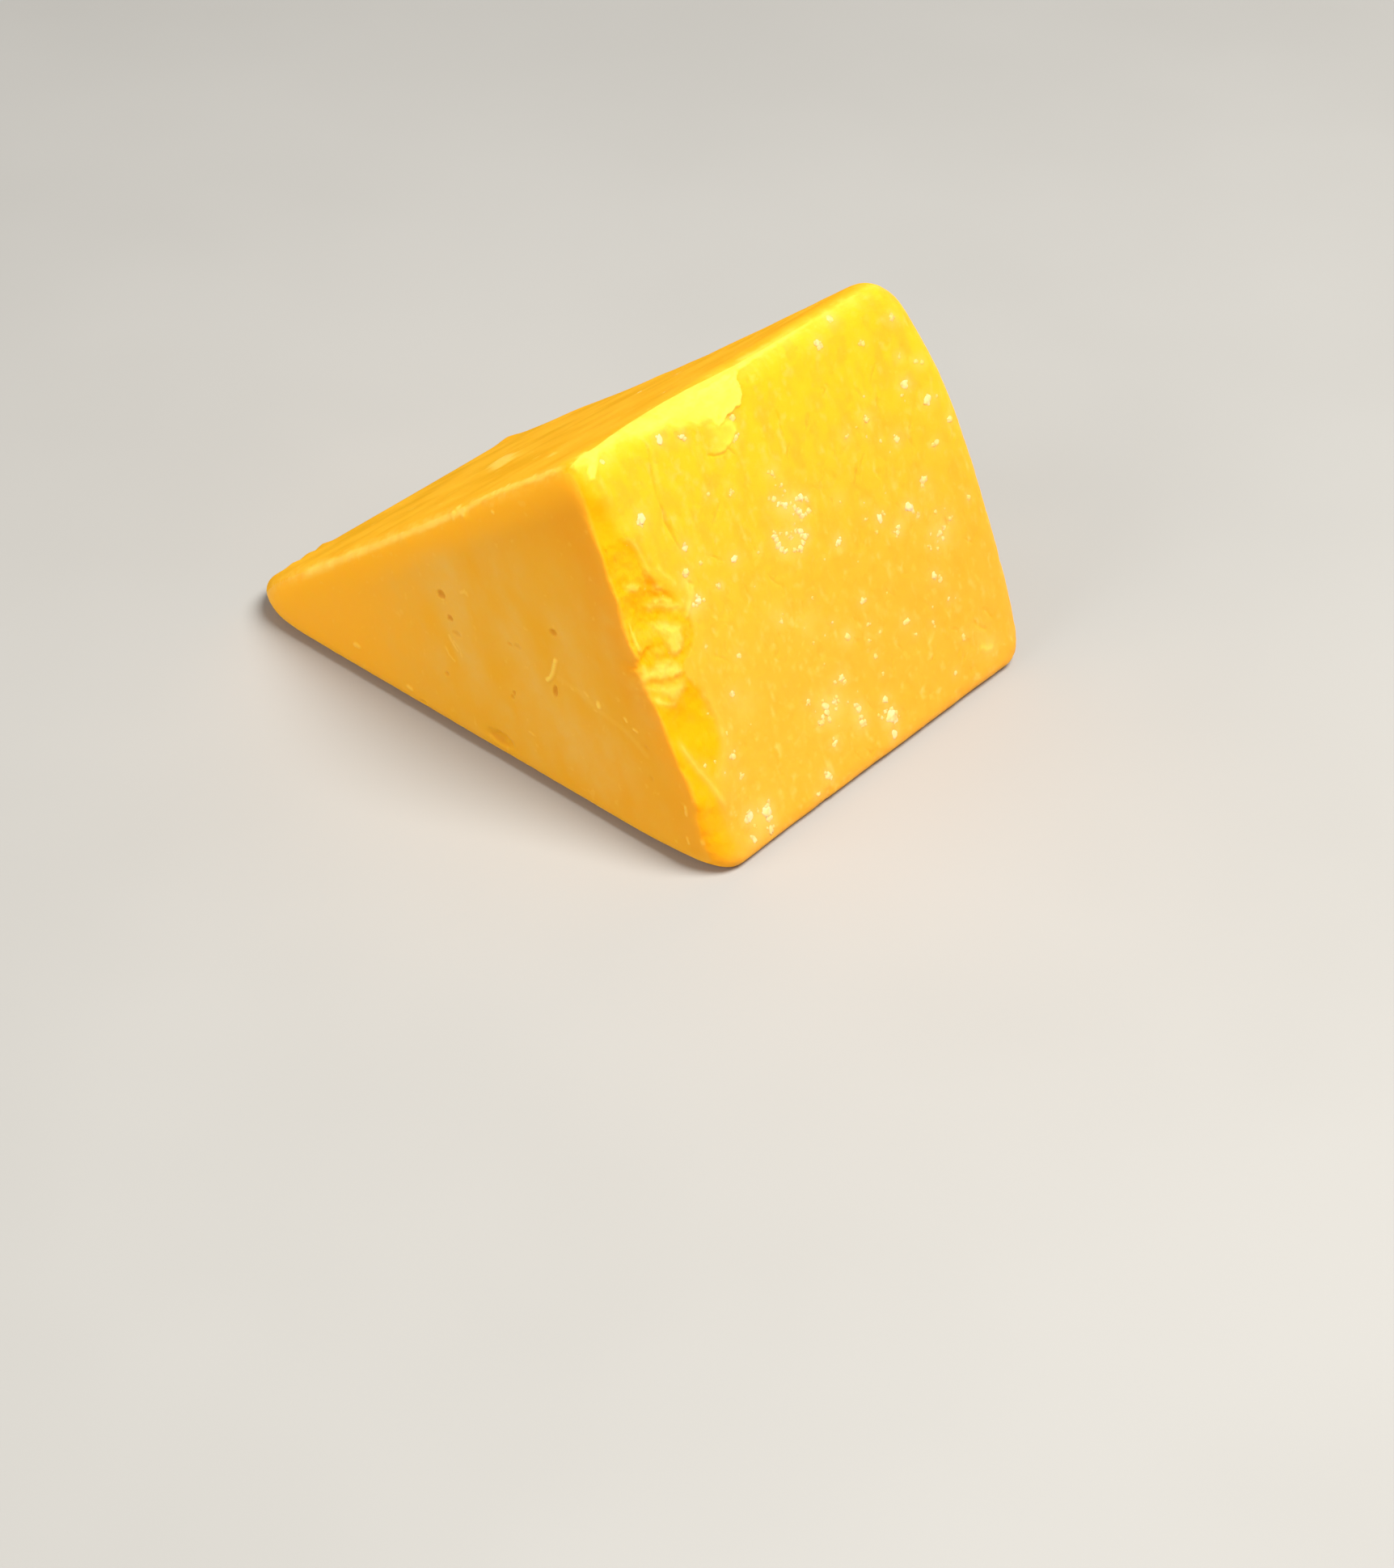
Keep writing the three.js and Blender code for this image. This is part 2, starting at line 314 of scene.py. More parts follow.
def to_outline(q, outline):
    """Signed distance to a closed flat outline, positive inside."""
    d = np.full(len(q), 1e9)
    inside = np.zeros(len(q), bool)
    for a, b in zip(outline, np.roll(outline, -1, axis=0)):
        e = b - a
        w = q - a
        t = np.clip((w @ e) / (e @ e), 0, 1)
        d = np.minimum(d, np.linalg.norm(w - t[:, None] * e, axis=1))
        crosses = (a[1] > q[:, 1]) != (b[1] > q[:, 1])
        x = a[0] + (q[:, 1] - a[1]) * e[0] / (e[1] if e[1] else 1e-9)
        inside ^= crosses & (q[:, 0] < x)
    return np.where(inside, d, -d)


# ---------------------------------------------------------------- marks on it
# Outlines and lines below are given by the pixels of the picture they cover
# and are laid on the skin from there.
def outer_flat(points):
    return OUTER.flat(np.asarray(points))


CRACK = spots([
    (797, 540), (800, 551), (803, 561), (804, 573), (806, 588), (809, 598), (812, 612), (816, 623),
    (821, 633), (824, 646), (829, 655), (833, 663), (838, 673), (843, 682),
])
CRACK_LIP = spots([(806, 553), (809, 570), (812, 588), (816, 602), (821, 616)])
FLAP_FLAT = outer_flat(spots([
    (786, 526), (800, 531), (812, 527), (826, 529), (840, 533), (851, 527), (862, 530), (872, 524),
    (878, 521), (884, 525), (888, 530), (895, 522), (899, 514), (906, 508), (912, 503), (915, 498),
    (917, 488), (915, 477), (911, 470), (912, 462), (909, 455), (880, 474), (850, 490), (821, 505),
    (800, 516),
]))
LOBE_FLAT = outer_flat(spots([
    (862, 524), (888, 522), (905, 519), (909, 526), (911, 533), (908, 541), (905, 547), (901, 553),
    (897, 558), (891, 561), (884, 563), (876, 561), (868, 556), (864, 548),
]))
HOOK_FLAT = outer_flat(spots([
    (706, 573), (712, 566), (722, 560), (733, 556), (746, 551), (752, 554), (741, 562), (739, 572),
    (738, 584), (735, 593), (729, 594), (726, 585), (727, 575), (718, 578), (710, 581),
]))
# The rim smeared along the ridge: where along it, and how far it reaches to the
# outer and to the upper side, as the difference of the two faces' heights.
RIM = np.array([
    # along, outer reach, upper reach
    (-35.0, -0.6, 1.2), (-32.0, -0.3, 1.45), (-30.0, -0.9, 1.6), (-28.0, 0.1, 1.85), (-26.4, -0.6, 2.1),
    (-24.5, 0.4, 2.4), (-23.0, 0.1, 2.6), (-21.1, -1.7, 2.8), (-18.0, -2.6, 2.9), (-14.0, -2.8, 2.9),
    (-9.8, -2.4, 2.4), (-6.0, -2.0, 1.6), (-1.5, -0.4, 0.8), (1.5, -0.35, 0.6), (6.0, -0.2, 0.4),
    (12.0, -0.1, 0.3), (20.0, -0.1, 0.2), (30.0, 0.0, 0.1), (40.0, 0.0, 0.0),
])
# Painted highlight: a pale line along the rounded upper edge of the front face,
# with a few thicker spots.
EDGE_HIGHLIGHT_LINE = spots([(369, 713), (390, 704), (430, 688), (465, 675), (498, 662), (535, 648), (569, 633), (604, 613),
                   (640, 599), (672, 588), (702, 578)])
EDGE_HIGHLIGHT_SPOTS = [(spots([px])[0], reach) for px, reach in (
    ((561, 637), 0.9), ((573, 632), 1.0), ((567, 628), 0.8), ((551, 642), 0.6), ((610, 610), 0.7), ((628, 601), 0.6),
    ((498, 661), 0.6), ((408, 697), 0.7), ((660, 590), 0.6))]
# Where the outer skin ends and the broken strip begins, from the ridge down.
BREAK_LINE = outer_flat(spots([
    (716, 590), (729, 600), (741, 613), (752, 628), (760, 643), (762, 654), (766, 664), (778, 669),
    (786, 681), (793, 694), (799, 708), (807, 716), (815, 726), (824, 732), (840, 743), (852, 757),
    (860, 783), (856, 803), (846, 820), (850, 836), (858, 846), (868, 856), (877, 870), (885, 884),
    (892, 900), (896, 918), (895, 938), (890, 957), (886, 972), (890, 989), (893, 1005), (897, 1022),
]))
# Flat patches of the broken strip: outline, height in mm, softness in mm, and
# tone, pale above zero and deep below. The deep tones are partly the broken cheese's
# own deeper orange and partly painted shade in hollows and on faces turned from the
# light; the pale ones are partly pale crumbs and partly painted highlight on lips.
PATCHES = [
    ([(750, 652), (775, 665), (793, 678), (807, 699), (803, 708), (788, 698), (771, 682), (753, 672)], -0.16, 1.1, -1.0),
    ([(756, 684), (769, 681), (787, 699), (795, 716), (778, 718), (760, 707)], 0.16, 0.6, -0.75),
    ([(763, 716), (787, 716), (813, 717), (838, 735), (842, 769), (813, 772), (787, 778), (775, 757), (763, 737)], -0.24, 0.6, -0.85),
    ([(772, 724), (781, 721), (791, 725), (789, 731), (777, 732)], 0.24, 0.25, 0.40),
    ([(811, 723), (819, 722), (821, 729), (815, 732), (810, 729)], 0.34, 0.25, 0.5),
    ([(798, 747), (819, 743), (842, 745), (846, 752), (835, 757), (817, 752), (802, 755)], 0.24, 0.3, 0.30),
    ([(812, 757), (819, 756), (820, 763), (813, 765)], -0.5, 0.25, -0.9),
    ([(806, 772), (822, 769), (842, 771), (846, 779), (830, 783), (817, 786), (808, 780)], 0.28, 0.3, 0.45),
    ([(826, 779), (844, 781), (845, 804), (836, 811), (829, 807), (825, 795)], 0.38, 0.35, 0.5),
    # Painted shade in a deep recess above the crumb.
    ([(786, 828), (788, 820), (794, 811), (801, 803), (808, 800), (808, 807), (802, 816), (794, 824)], -0.90, 0.45, -0.95),
    ([(790, 839), (796, 832), (803, 827), (810, 820), (818, 817), (829, 819), (838, 818), (843, 824), (845, 830),
      (842, 836), (832, 840), (822, 842), (812, 841), (802, 842), (794, 843)], 0.66, 0.55, 0.52),
    ([(792, 846), (803, 847), (816, 848), (830, 846), (845, 842), (851, 850), (846, 858), (838, 863), (831, 865),
      (818, 860), (806, 858), (797, 854)], 0.38, 0.6, 0.34),
    ([(805, 862), (815, 862), (826, 867), (836, 868), (837, 874), (826, 875), (813, 871)], 0.26, 0.3, 0.45),
    ([(853, 841), (866, 850), (878, 871), (882, 886), (867, 881), (852, 872), (845, 858)], -0.32, 0.5, -1.0),
    ([(818, 879), (842, 875), (864, 882), (880, 887), (889, 902), (891, 933), (883, 960), (866, 948), (850, 925), (832, 905)], -0.22, 1.2, -1.0),
    ([(826, 905), (837, 921), (854, 951), (872, 977), (892, 1007), (912, 1048), (897, 1060), (880, 1032), (861, 988),
      (843, 950), (829, 922)], -0.05, 1.6, -0.9),
]
PATCHES = [(outer_flat(spots(px)), h, soft, tone) for px, h, soft, tone in PATCHES]
# Raised or sunken lines: points, height, half width in mm, tone. The dark tones of
# sunken lines are painted shade in them; the pale tones of raised ones are partly pale
# streaks and partly painted highlight.
LINES = [
    ([(837, 913), (848, 931), (863, 951), (878, 968), (889, 984), (899, 1001)], 0.14, 0.60, 0.26),
    ([(866, 846), (878, 864), (889, 888), (896, 915), (895, 940), (889, 958), (880, 972)], 0.08, 0.9, 0.10),
    ([(778, 770), (782, 784), (787, 797), (791, 808)], 0.12, 0.22, 0.38),
    # Painted shadow in the crease between the crumb's two lobes.
    ([(797, 843), (806, 845), (817, 846), (830, 843), (842, 838)], -0.07, 0.40, -0.2),
    ([(770, 664), (781, 668), (790, 680), (798, 697), (806, 712)], 0.05, 0.50, 0.20),
    ([(959, 506), (965, 519), (966, 531), (969, 543)], -0.10, 0.20, -0.35),
    ([(846, 700), (849, 716), (851, 730), (853, 741)], 0.10, 0.30, 0.35),
    ([(856, 722), (855, 736), (852, 750), (848, 766)], 0.14, 0.45, 0.34),
    ([(807, 745), (820, 741), (833, 745)], 0.16, 0.40, 0.34),
    ([(829, 777), (832, 792), (836, 808)], 0.18, 0.55, 0.42),
    ([(783, 780), (787, 794), (793, 806)], 0.12, 0.35, 0.34),
    ([(812, 700), (820, 710), (829, 716), (838, 726)], 0.10, 0.35, 0.25),
    # Painted shadow under the lobe's lip.
    ([(874, 562), (884, 564), (893, 562), (899, 558)], -0.16, 0.16, -0.6),
    ([(1203, 768), (1211, 775), (1221, 779)], -0.14, 0.30, -0.25),
    ([(1214, 752), (1222, 757), (1228, 766)], -0.12, 0.28, -0.2),
    ([(1212, 800), (1220, 803), (1229, 800)], 0.14, 0.55, 0.45),
]
LINES = [(outer_flat(spots(px)), h, width, tone) for px, h, width, tone in LINES]
# Soft pale patches on the outer side: pixel, reach in mm, strength.
CLOUDS = [
    ((1225, 799), 1.8, 0.32), ((1213, 786), 2.4, 0.15), ((955, 585), 1.6, 0.30), ((1165, 655), 2.8, 0.35),
    ((1030, 875), 3.2, 0.34), ((1062, 885), 2.2, 0.28), ((1100, 890), 1.6, 0.28), ((940, 1012), 2.6, 0.30), ((978, 628), 2.6, 0.42),
    ((978, 668), 2.6, 0.34), ((1112, 650), 1.6, 0.3), ((857, 752), 1.6, 0.35), ((848, 720), 1.2, 0.30),
    ((1112, 442), 1.1, 0.3), ((1137, 448), 1.4, 0.3), ((1047, 540), 1.2, 0.22), ((1035, 617), 1.5, 0.22),
    ((1104, 393), 1.3, 0.3), ((1026, 395), 1.3, 0.35), ((1072, 518), 1.3, 0.3), ((1150, 610), 1.5, 0.2),
    ((1000, 770), 2.2, 0.22), ((960, 760), 2.0, 0.2), ((1048, 787), 1.4, 0.3), ((920, 870), 2.5, 0.18),
]
CLOUDS = [(outer_flat(spots([px]))[0], reach, amount) for px, reach, amount in CLOUDS]
# Pale patches on the upper cut.
UPPER_PATCHES = [
    ([(600, 580), (611, 571), (626, 562), (641, 558), (641, 563), (628, 573), (612, 583)], 0.10, 0.62),
    ([(913, 445), (925, 436), (943, 427), (954, 423), (953, 428), (938, 437), (920, 446)], 0.10, 0.62),
    ([(679, 563), (684, 559), (688, 561), (684, 565)], 0.12, 0.7),
]
UPPER_PATCHES = [(UPPER.flat(spots(px)), h, tone) for px, h, tone in UPPER_PATCHES]
BUMPS = [
    # pixel, reach in mm, height in mm
    ((399, 674), 1.2, 0.42), ((381, 686), 1.1, 0.30), ((364, 697), 1.0, 0.26), ((628, 543), 1.7, 0.35),
    ((560, 632), 0.7, 0.16), ((574, 641), 0.6, 0.14), ((500, 668), 1.2, 0.12), ((470, 683), 0.9, 0.10),
]
BUMPS = [(spots([px])[0], reach, h) for px, reach, h in BUMPS]

PITS = [
    # pixel, radius along and across in mm, depth in mm
    ((546, 735), 0.85, 0.78, 0.50),
    ((557, 764.5), 0.62, 0.55, 0.38),
    ((684, 782.5), 0.80, 0.55, 0.42),
    ((686.8, 855), 0.50, 1.10, 0.45),
    ((636, 857.5), 0.34, 0.55, 0.22),
    ((565, 784), 0.95, 0.55, 0.16),
    ((553.5, 833.5), 0.5, 0.5, 0.20),
    ((640, 800), 0.8, 0.55, 0.14),
    ((634, 862), 0.4, 0.45, 0.18),
    ((631, 797), 0.6, 0.42, 0.15),
    ((524, 868), 0.8, 0.5, 0.16),
    ((806, 963), 0.5, 0.5, 0.10),
    ((799, 925), 0.7, 0.5, 0.10),
]
PITS = [(c, ru, rv, deep) for c, (_, ru, rv, deep) in zip(spots([pit[0] for pit in PITS]), PITS)]
SLIVER = spots([(687, 817), (685.5, 824), (684, 832), (681, 838), (677.5, 840.5)])
# Light specks and scratches in the front face: line, half width, height, tone.
SPECKS = [
    ([(740, 870), (741, 874)], 0.42, 0.16, 0.75), ([(773, 889), (775, 892)], 0.28, 0.1, 0.55),
    ([(784, 902), (788, 905)], 0.26, 0.1, 0.5), ([(609, 633), (610, 634)], 0.30, 0.1, 0.55),
    ([(440, 797), (444, 799)], 0.45, 0.12, 0.45), ([(505, 849), (509, 852)], 0.40, 0.12, 0.40),
    ([(556, 786), (560, 795), (566, 805)], 0.20, 0.05, 0.45), ([(551, 800), (556, 810), (563, 818)], 0.18, 0.05, 0.35),
    ([(562, 793), (569, 803), (571, 812)], 0.16, 0.05, 0.3), ([(848, 998), (849, 1008)], 0.30, 0.10, 0.5),
    ([(850, 1036), (852, 1043)], 0.24, 0.08, 0.4), ([(868, 1040), (870, 1044)], 0.24, 0.08, 0.4),
    ([(690, 838), (720, 858), (742, 880), (775, 905), (800, 935)], 0.55, 0.01, 0.10),
    ([(706, 850), (709, 853)], 0.24, 0.03, 0.30), ([(735, 878), (738, 880)], 0.22, 0.03, 0.28), ([(570, 733), (575, 731), (578, 736)], 0.30, 0.06, 0.3),
    ([(723, 856), (727, 861)], 0.22, 0.06, 0.35), ([(655, 905), (660, 909)], 0.22, 0.06, 0.3),
]
SPECKS = [(spots(px), width, h, tone) for px, width, h, tone in SPECKS]
BITE = spots([(619, 913)])[0]

# White crystals: pixel, size in mm, and how white.
CRYSTALS = [
    (793, 643, 1.20, 1.0), (816, 544, 1.10, 0.9), (843, 540, 0.95, 0.75), (847, 677, 1.00, 0.8),
    (848, 708, 0.9, 0.6), (745, 571, 0.9, 0.45), (908, 691, 1.10, 0.9), (866, 696, 0.7, 0.45), (889, 725, 0.75, 0.55),
    (863, 743, 1.0, 0.95), (857, 748, 0.7, 0.7), (870, 742, 0.6, 0.4), (1038, 670, 1.15, 0.95), (1088, 641, 1.20, 0.95),
    (1124, 627, 1.30, 1.0), (1129, 632, 0.8, 0.7), (1135, 638, 0.7, 0.45), (1111, 652, 0.75, 0.6), (1110, 659, 0.8, 0.6),
    (1119, 475, 1.25, 0.95), (1147, 495, 1.20, 0.85), (1174, 518, 1.10, 0.6), (1109, 543, 1.10, 0.8),
    (1158, 547, 1.0, 0.5), (1072, 519, 0.9, 0.4), (1142, 593, 1.10, 0.6), (1011, 424, 1.0, 0.7), (1013, 429, 0.8, 0.6),
    (1103, 392, 0.9, 0.5), (1067, 425, 0.8, 0.35), (1112, 441, 0.8, 0.35), (1133, 447, 0.7, 0.35), (1140, 448, 0.7, 0.4),
    (904, 609, 0.7, 0.45), (1026, 394, 0.9, 0.5), (1198, 615, 0.8, 0.45), (1047, 540, 0.7, 0.35),
    (957, 617, 0.8, 0.7), (963, 623, 0.8, 0.8), (970, 624, 1.25, 1.0), (985, 617, 0.8, 0.8), (991, 616, 0.95, 0.9),
    (997, 617, 0.7, 0.75), (983, 628, 0.8, 0.7), (988, 633, 1.0, 0.85), (993, 638, 0.9, 0.8), (1000, 632, 0.65, 0.6),
    (978, 622, 0.6, 0.5), (958, 663, 0.8, 0.7), (961, 668, 0.9, 0.8), (963, 674, 0.85, 0.75), (967, 679, 0.8, 0.7),
    (972, 682, 0.8, 0.75), (973, 660, 0.65, 0.55), (979, 665, 0.7, 0.6), (990, 657, 0.85, 0.75), (996, 663, 1.05, 0.9),
    (993, 671, 0.8, 0.7), (990, 678, 0.85, 0.75), (983, 680, 0.6, 0.5), (965, 660, 0.5, 0.5),
    (1067, 743, 0.85, 0.6), (1155, 712, 0.95, 0.9), (1163, 717, 0.9, 0.6), (1121, 769, 1.1, 0.6),
    (1048, 787, 1.0, 0.5), (1074, 772, 0.7, 0.4), (914, 811, 0.85, 0.6), (966, 769, 0.7, 0.5), (1024, 959, 1.15, 0.9),
    (1012, 982, 0.8, 0.6), (927, 1010, 1.30, 1.0), (948, 1004, 1.5, 1.0), (951, 1011, 1.1, 0.9), (949, 996, 0.8, 0.8),
    (934, 1038, 1.15, 0.8), (954, 1026, 0.9, 0.75), (907, 935, 0.9, 0.7), (917, 960, 0.85, 0.5), (906, 858, 0.8, 0.6),
    (1163, 659, 0.9, 0.75), (1167, 665, 1.0, 0.85), (1168, 653, 0.7, 0.6), (1175, 641, 0.7, 0.45), (1157, 633, 0.6, 0.35),
    (1102, 886, 1.7, 1.0), (1107, 890, 1.05, 0.9), (1095, 865, 0.95, 0.9), (1095, 880, 0.7, 0.7), (1107, 908, 1.15, 0.9),
    (1021, 873, 1.15, 0.85), (1023, 881, 1.0, 0.8), (1018, 887, 0.8, 0.7), (1033, 867, 0.9, 0.8), (1026, 890, 0.7, 0.6),
    (1062, 877, 1.1, 0.8), (1065, 886, 0.9, 0.7), (1066, 894, 1.1, 0.7), (1058, 872, 0.7, 0.6), (1016, 894, 0.9, 0.5),
    (1041, 838, 1.05, 0.9), (1033, 843, 0.6, 0.6), (1045, 843, 0.6, 0.5), (1033, 919, 1.05, 0.7), (1000, 867, 0.85, 0.6),
    (1083, 811, 0.7, 0.4), (876, 611, 0.5, 0.4), (1182, 832, 0.7, 0.5), (1192, 787, 0.9, 0.45), (906, 517, 0.9, 0.4),
    (910, 541, 0.9, 0.45), (873, 947, 0.7, 0.45), (955, 585, 0.6, 0.35), (873, 800, 0.6, 0.35),
]
DRIFTS = [
    # centre pixel, spread in mm, how many
    ((980, 628), 3.0, 5), ((978, 668), 2.6, 4), ((1162, 655), 3.4, 8), ((1092, 642), 5.0, 6),
    ((1032, 876), 3.8, 9), ((1100, 888), 3.0, 5), ((942, 1015), 3.0, 6), ((958, 588), 3.5, 6),
    ((1050, 780), 11.0, 10), ((1120, 500), 10.0, 8), ((900, 900), 7.0, 5), ((1150, 780), 8.0, 6),
    ((1000, 700), 12.0, 8),
]


def strokes():
    """Short creases down the outer side, a little bent, and their depths."""
    made = []
    for _ in range(96):
        u, v = RANDOM.uniform(-27, 34), RANDOM.uniform(-30, 24)
        lean = RANDOM.normal(0.0, 0.55)
        length, bend = RANDOM.uniform(0.9, 3.2), RANDOM.normal(0, 0.35)
        t = np.linspace(-0.5, 0.5, 5)
        made.append((
            np.stack([u + lean * length * t + bend * (1 - 4 * t * t), v + length * t], -1),
            RANDOM.uniform(0.04, 0.13),
            RANDOM.uniform(0.12, 0.24),
        ))
    return made


STROKES = strokes()


def beyond_break(q):
    """How far flat points lie past the line where the broken strip begins."""
    order = np.argsort(BREAK_LINE[:, 1])
    return np.interp(q[:, 1], BREAK_LINE[order, 1], BREAK_LINE[order, 0]) - q[:, 0]


def want(p):
    """The edge length in mm that the mesh needs at p."""
    base, front, back, upper, outer = faces_of(p)
    size = np.full(len(p), 0.75)
    size = np.where(base > -0.5, 1.8, size)
    size = np.where((back > -0.5) & (base < -1), 0.9, size)
    on_outer = outer > -3.5
    size = np.where(on_outer & (base < -1), 0.56, size)
    edge = np.sort(np.stack([base, front, back, upper, outer], -1), axis=-1)
    size = np.where(edge[:, -2] > -2.2, np.minimum(size, 0.6), size)
    size = np.where((upper > -4) & (outer > -4) & (p[:, 1] < 12), 0.34, size)
    q = outer_flat(p)
    past = beyond_break(q)
    torn = on_outer & (past > -0.8) & (p[:, 1] < -20) & (p[:, 2] > 1.5)
    size = np.where(torn, np.where((p[:, 2] > 23) & (p[:, 2] < 47), 0.25, 0.36), size)
    for outline in (FLAP_FLAT, LOBE_FLAT, HOOK_FLAT):
        d = to_outline(q, outline)
        size = np.where(on_outer & (d > -1.0) & (d < 1.0), np.minimum(size, 0.25), size)
    for line in [CRACK, CRACK_LIP, EDGE_HIGHLIGHT_LINE] + [line for line, _, _, _ in SPECKS] + [SLIVER]:
        d, _ = to_line(p, line)
        size = np.where(d < 1.0, np.minimum(size, 0.25), size)
    some = np.where(on_outer & (size > 0.3))[0]
    best = np.full(len(some), 9.0)
    for line in [stroke[0] for stroke in STROKES] + [line[0] for line in LINES]:
        close = np.abs(q[some] - line[len(line) // 2]).max(1) < 6
        d, _ = to_line(q[some[close]], line)
        best[close] = np.minimum(best[close], d)
    size[some] = np.where(best < 0.6, np.minimum(size[some], 0.3), size[some])
    for c, ru, rv, _ in PITS:
        d = np.linalg.norm(p - c, axis=1)
        size = np.where(d < 1.7 * max(ru, rv), 0.2, size)
    size = np.where(np.linalg.norm(p - BITE, axis=1) < 4, np.minimum(size, 0.35), size)
    return size


# ---------------------------------------------------------------- the mesh
def coarse_grid(n):
    """The sharp wedge as points and triangles, its faces pointing out."""
    points, tris = [], []

    def warp(t):
        return t - 0.3 * math.sin(2 * math.pi * t) / (2 * math.pi)

    def end(a, b, c):
        index = {}
        for i in range(n + 1):
            for j in range(n + 1 - i):
                w = np.array([warp(i / n), warp(j / n), warp((n - i - j) / n)])
                w /= w.sum()
                index[i, j] = len(points)
                points.append(w[0] * a + w[1] * b + w[2] * c)
        for i in range(n):
            for j in range(n - i):
                tris.append((index[i, j], index[i + 1, j], index[i, j + 1]))
                if j < n - i - 1:
                    tris.append((index[i + 1, j], index[i + 1, j + 1], index[i, j + 1]))

    def side(a, b, c, d):
        start = len(points)
        for i in range(n + 1):
            for j in range(n + 1):
                u, v = warp(i / n), warp(j / n)
                points.append(
                    (1 - u) * (1 - v) * a + u * (1 - v) * b + u * v * c + (1 - u) * v * d
                )
        for i in range(n):
            for j in range(n):
                k = start + i * (n + 1) + j
                k01, k10, k11 = k + 1, k + n + 1, k + n + 2
                if (i + j) % 2:
                    tris.append((k, k10, k11))
                    tris.append((k, k11, k01))
                else:
                    tris.append((k, k10, k01))
                    tris.append((k10, k11, k01))

    end(TIP_FRONT, FOOT_FRONT, RIDGE_FRONT)
    end(TIP_BACK, RIDGE_BACK, FOOT_BACK)
    side(TIP_FRONT, TIP_BACK, FOOT_BACK, FOOT_FRONT)
    side(TIP_FRONT, RIDGE_FRONT, RIDGE_BACK, TIP_BACK)
    side(RIDGE_FRONT, FOOT_FRONT, FOOT_BACK, RIDGE_BACK)
    points, tris = np.array(points), np.array(tris)
    _, first, inverse = np.unique(
        np.round(points * 1000).astype(np.int64), axis=0, return_index=True, return_inverse=True
    )
    return points[first], inverse.reshape(-1)[tris]


def refine(points, tris, rounds=5):
    """Halves edges that are longer than the mesh wants there."""
    for _ in range(rounds):
        pairs = np.sort(
            np.concatenate([tris[:, [0, 1]], tris[:, [1, 2]], tris[:, [2, 0]]]), axis=1
        )
        edges, inverse = np.unique(pairs, axis=0, return_inverse=True)
        inverse = inverse.reshape(3, -1)
        a, b = points[edges[:, 0]], points[edges[:, 1]]
        middle = (a + b) / 2
        long = np.linalg.norm(a - b, axis=1) > 1.57 * want(middle)
        if not long.any():
            break
        # A triangle with two long edges gets its third halved too.
        for _ in range(4):
            marks = long[inverse]
            extra = inverse[:, marks.sum(0) == 2].ravel()
            if long[extra].all():
                break
            long[extra] = True
        new = np.full(len(edges), -1)
        new[long] = len(points) + np.arange(long.sum())
        points = np.concatenate([points, to_surface(middle[long], 0.9, 1.15, 26)])
        m = new[inverse]
        t0, t1, t2 = tris.T
        count = (m >= 0).sum(0)
        keep = tris[count == 0]
        k = count == 3
        four = np.concatenate([
            np.stack([t0[k], m[0, k], m[2, k]], 1),
            np.stack([m[0, k], t1[k], m[1, k]], 1),
            np.stack([m[2, k], m[1, k], t2[k]], 1),
            np.stack([m[0, k], m[1, k], m[2, k]], 1),
        ])
        parts = [keep, four]
        for e, (i, j, o) in enumerate(((0, 1, 2), (1, 2, 0), (2, 0, 1))):
            k = (count == 1) & (m[e] >= 0)
            parts.append(np.stack([tris[k, i], m[e, k], tris[k, o]], 1))
            parts.append(np.stack([m[e, k], tris[k, j], tris[k, o]], 1))
        for e, (i, j, o) in enumerate(((0, 1, 2), (1, 2, 0), (2, 0, 1))):
            # two halved edges, the one from i to j whole
            k = (count == 2) & (m[e] < 0)
            m1, m2 = m[(e + 1) % 3], m[(e + 2) % 3]
            parts.append(np.stack([m1[k], tris[k, o], m2[k]], 1))
            parts.append(np.stack([tris[k, i], tris[k, j], m1[k]], 1))
            parts.append(np.stack([tris[k, i], m1[k], m2[k]], 1))
        tris = np.concatenate(parts)
    return points, tris


def corner_normals(points, tris):
    n = np.cross(points[tris[:, 1]] - points[tris[:, 0]], points[tris[:, 2]] - points[tris[:, 0]])
    total = np.zeros_like(points)
    for k in range(3):
        np.add.at(total, tris[:, k], n)
    return total / np.maximum(np.linalg.norm(total, axis=1), 1e-12)[:, None]


def paler(tone, mark):
    """Raises the tone where a pale mark lies, and leaves it elsewhere."""
    return np.where(mark > 0.02, np.maximum(tone, mark), tone)


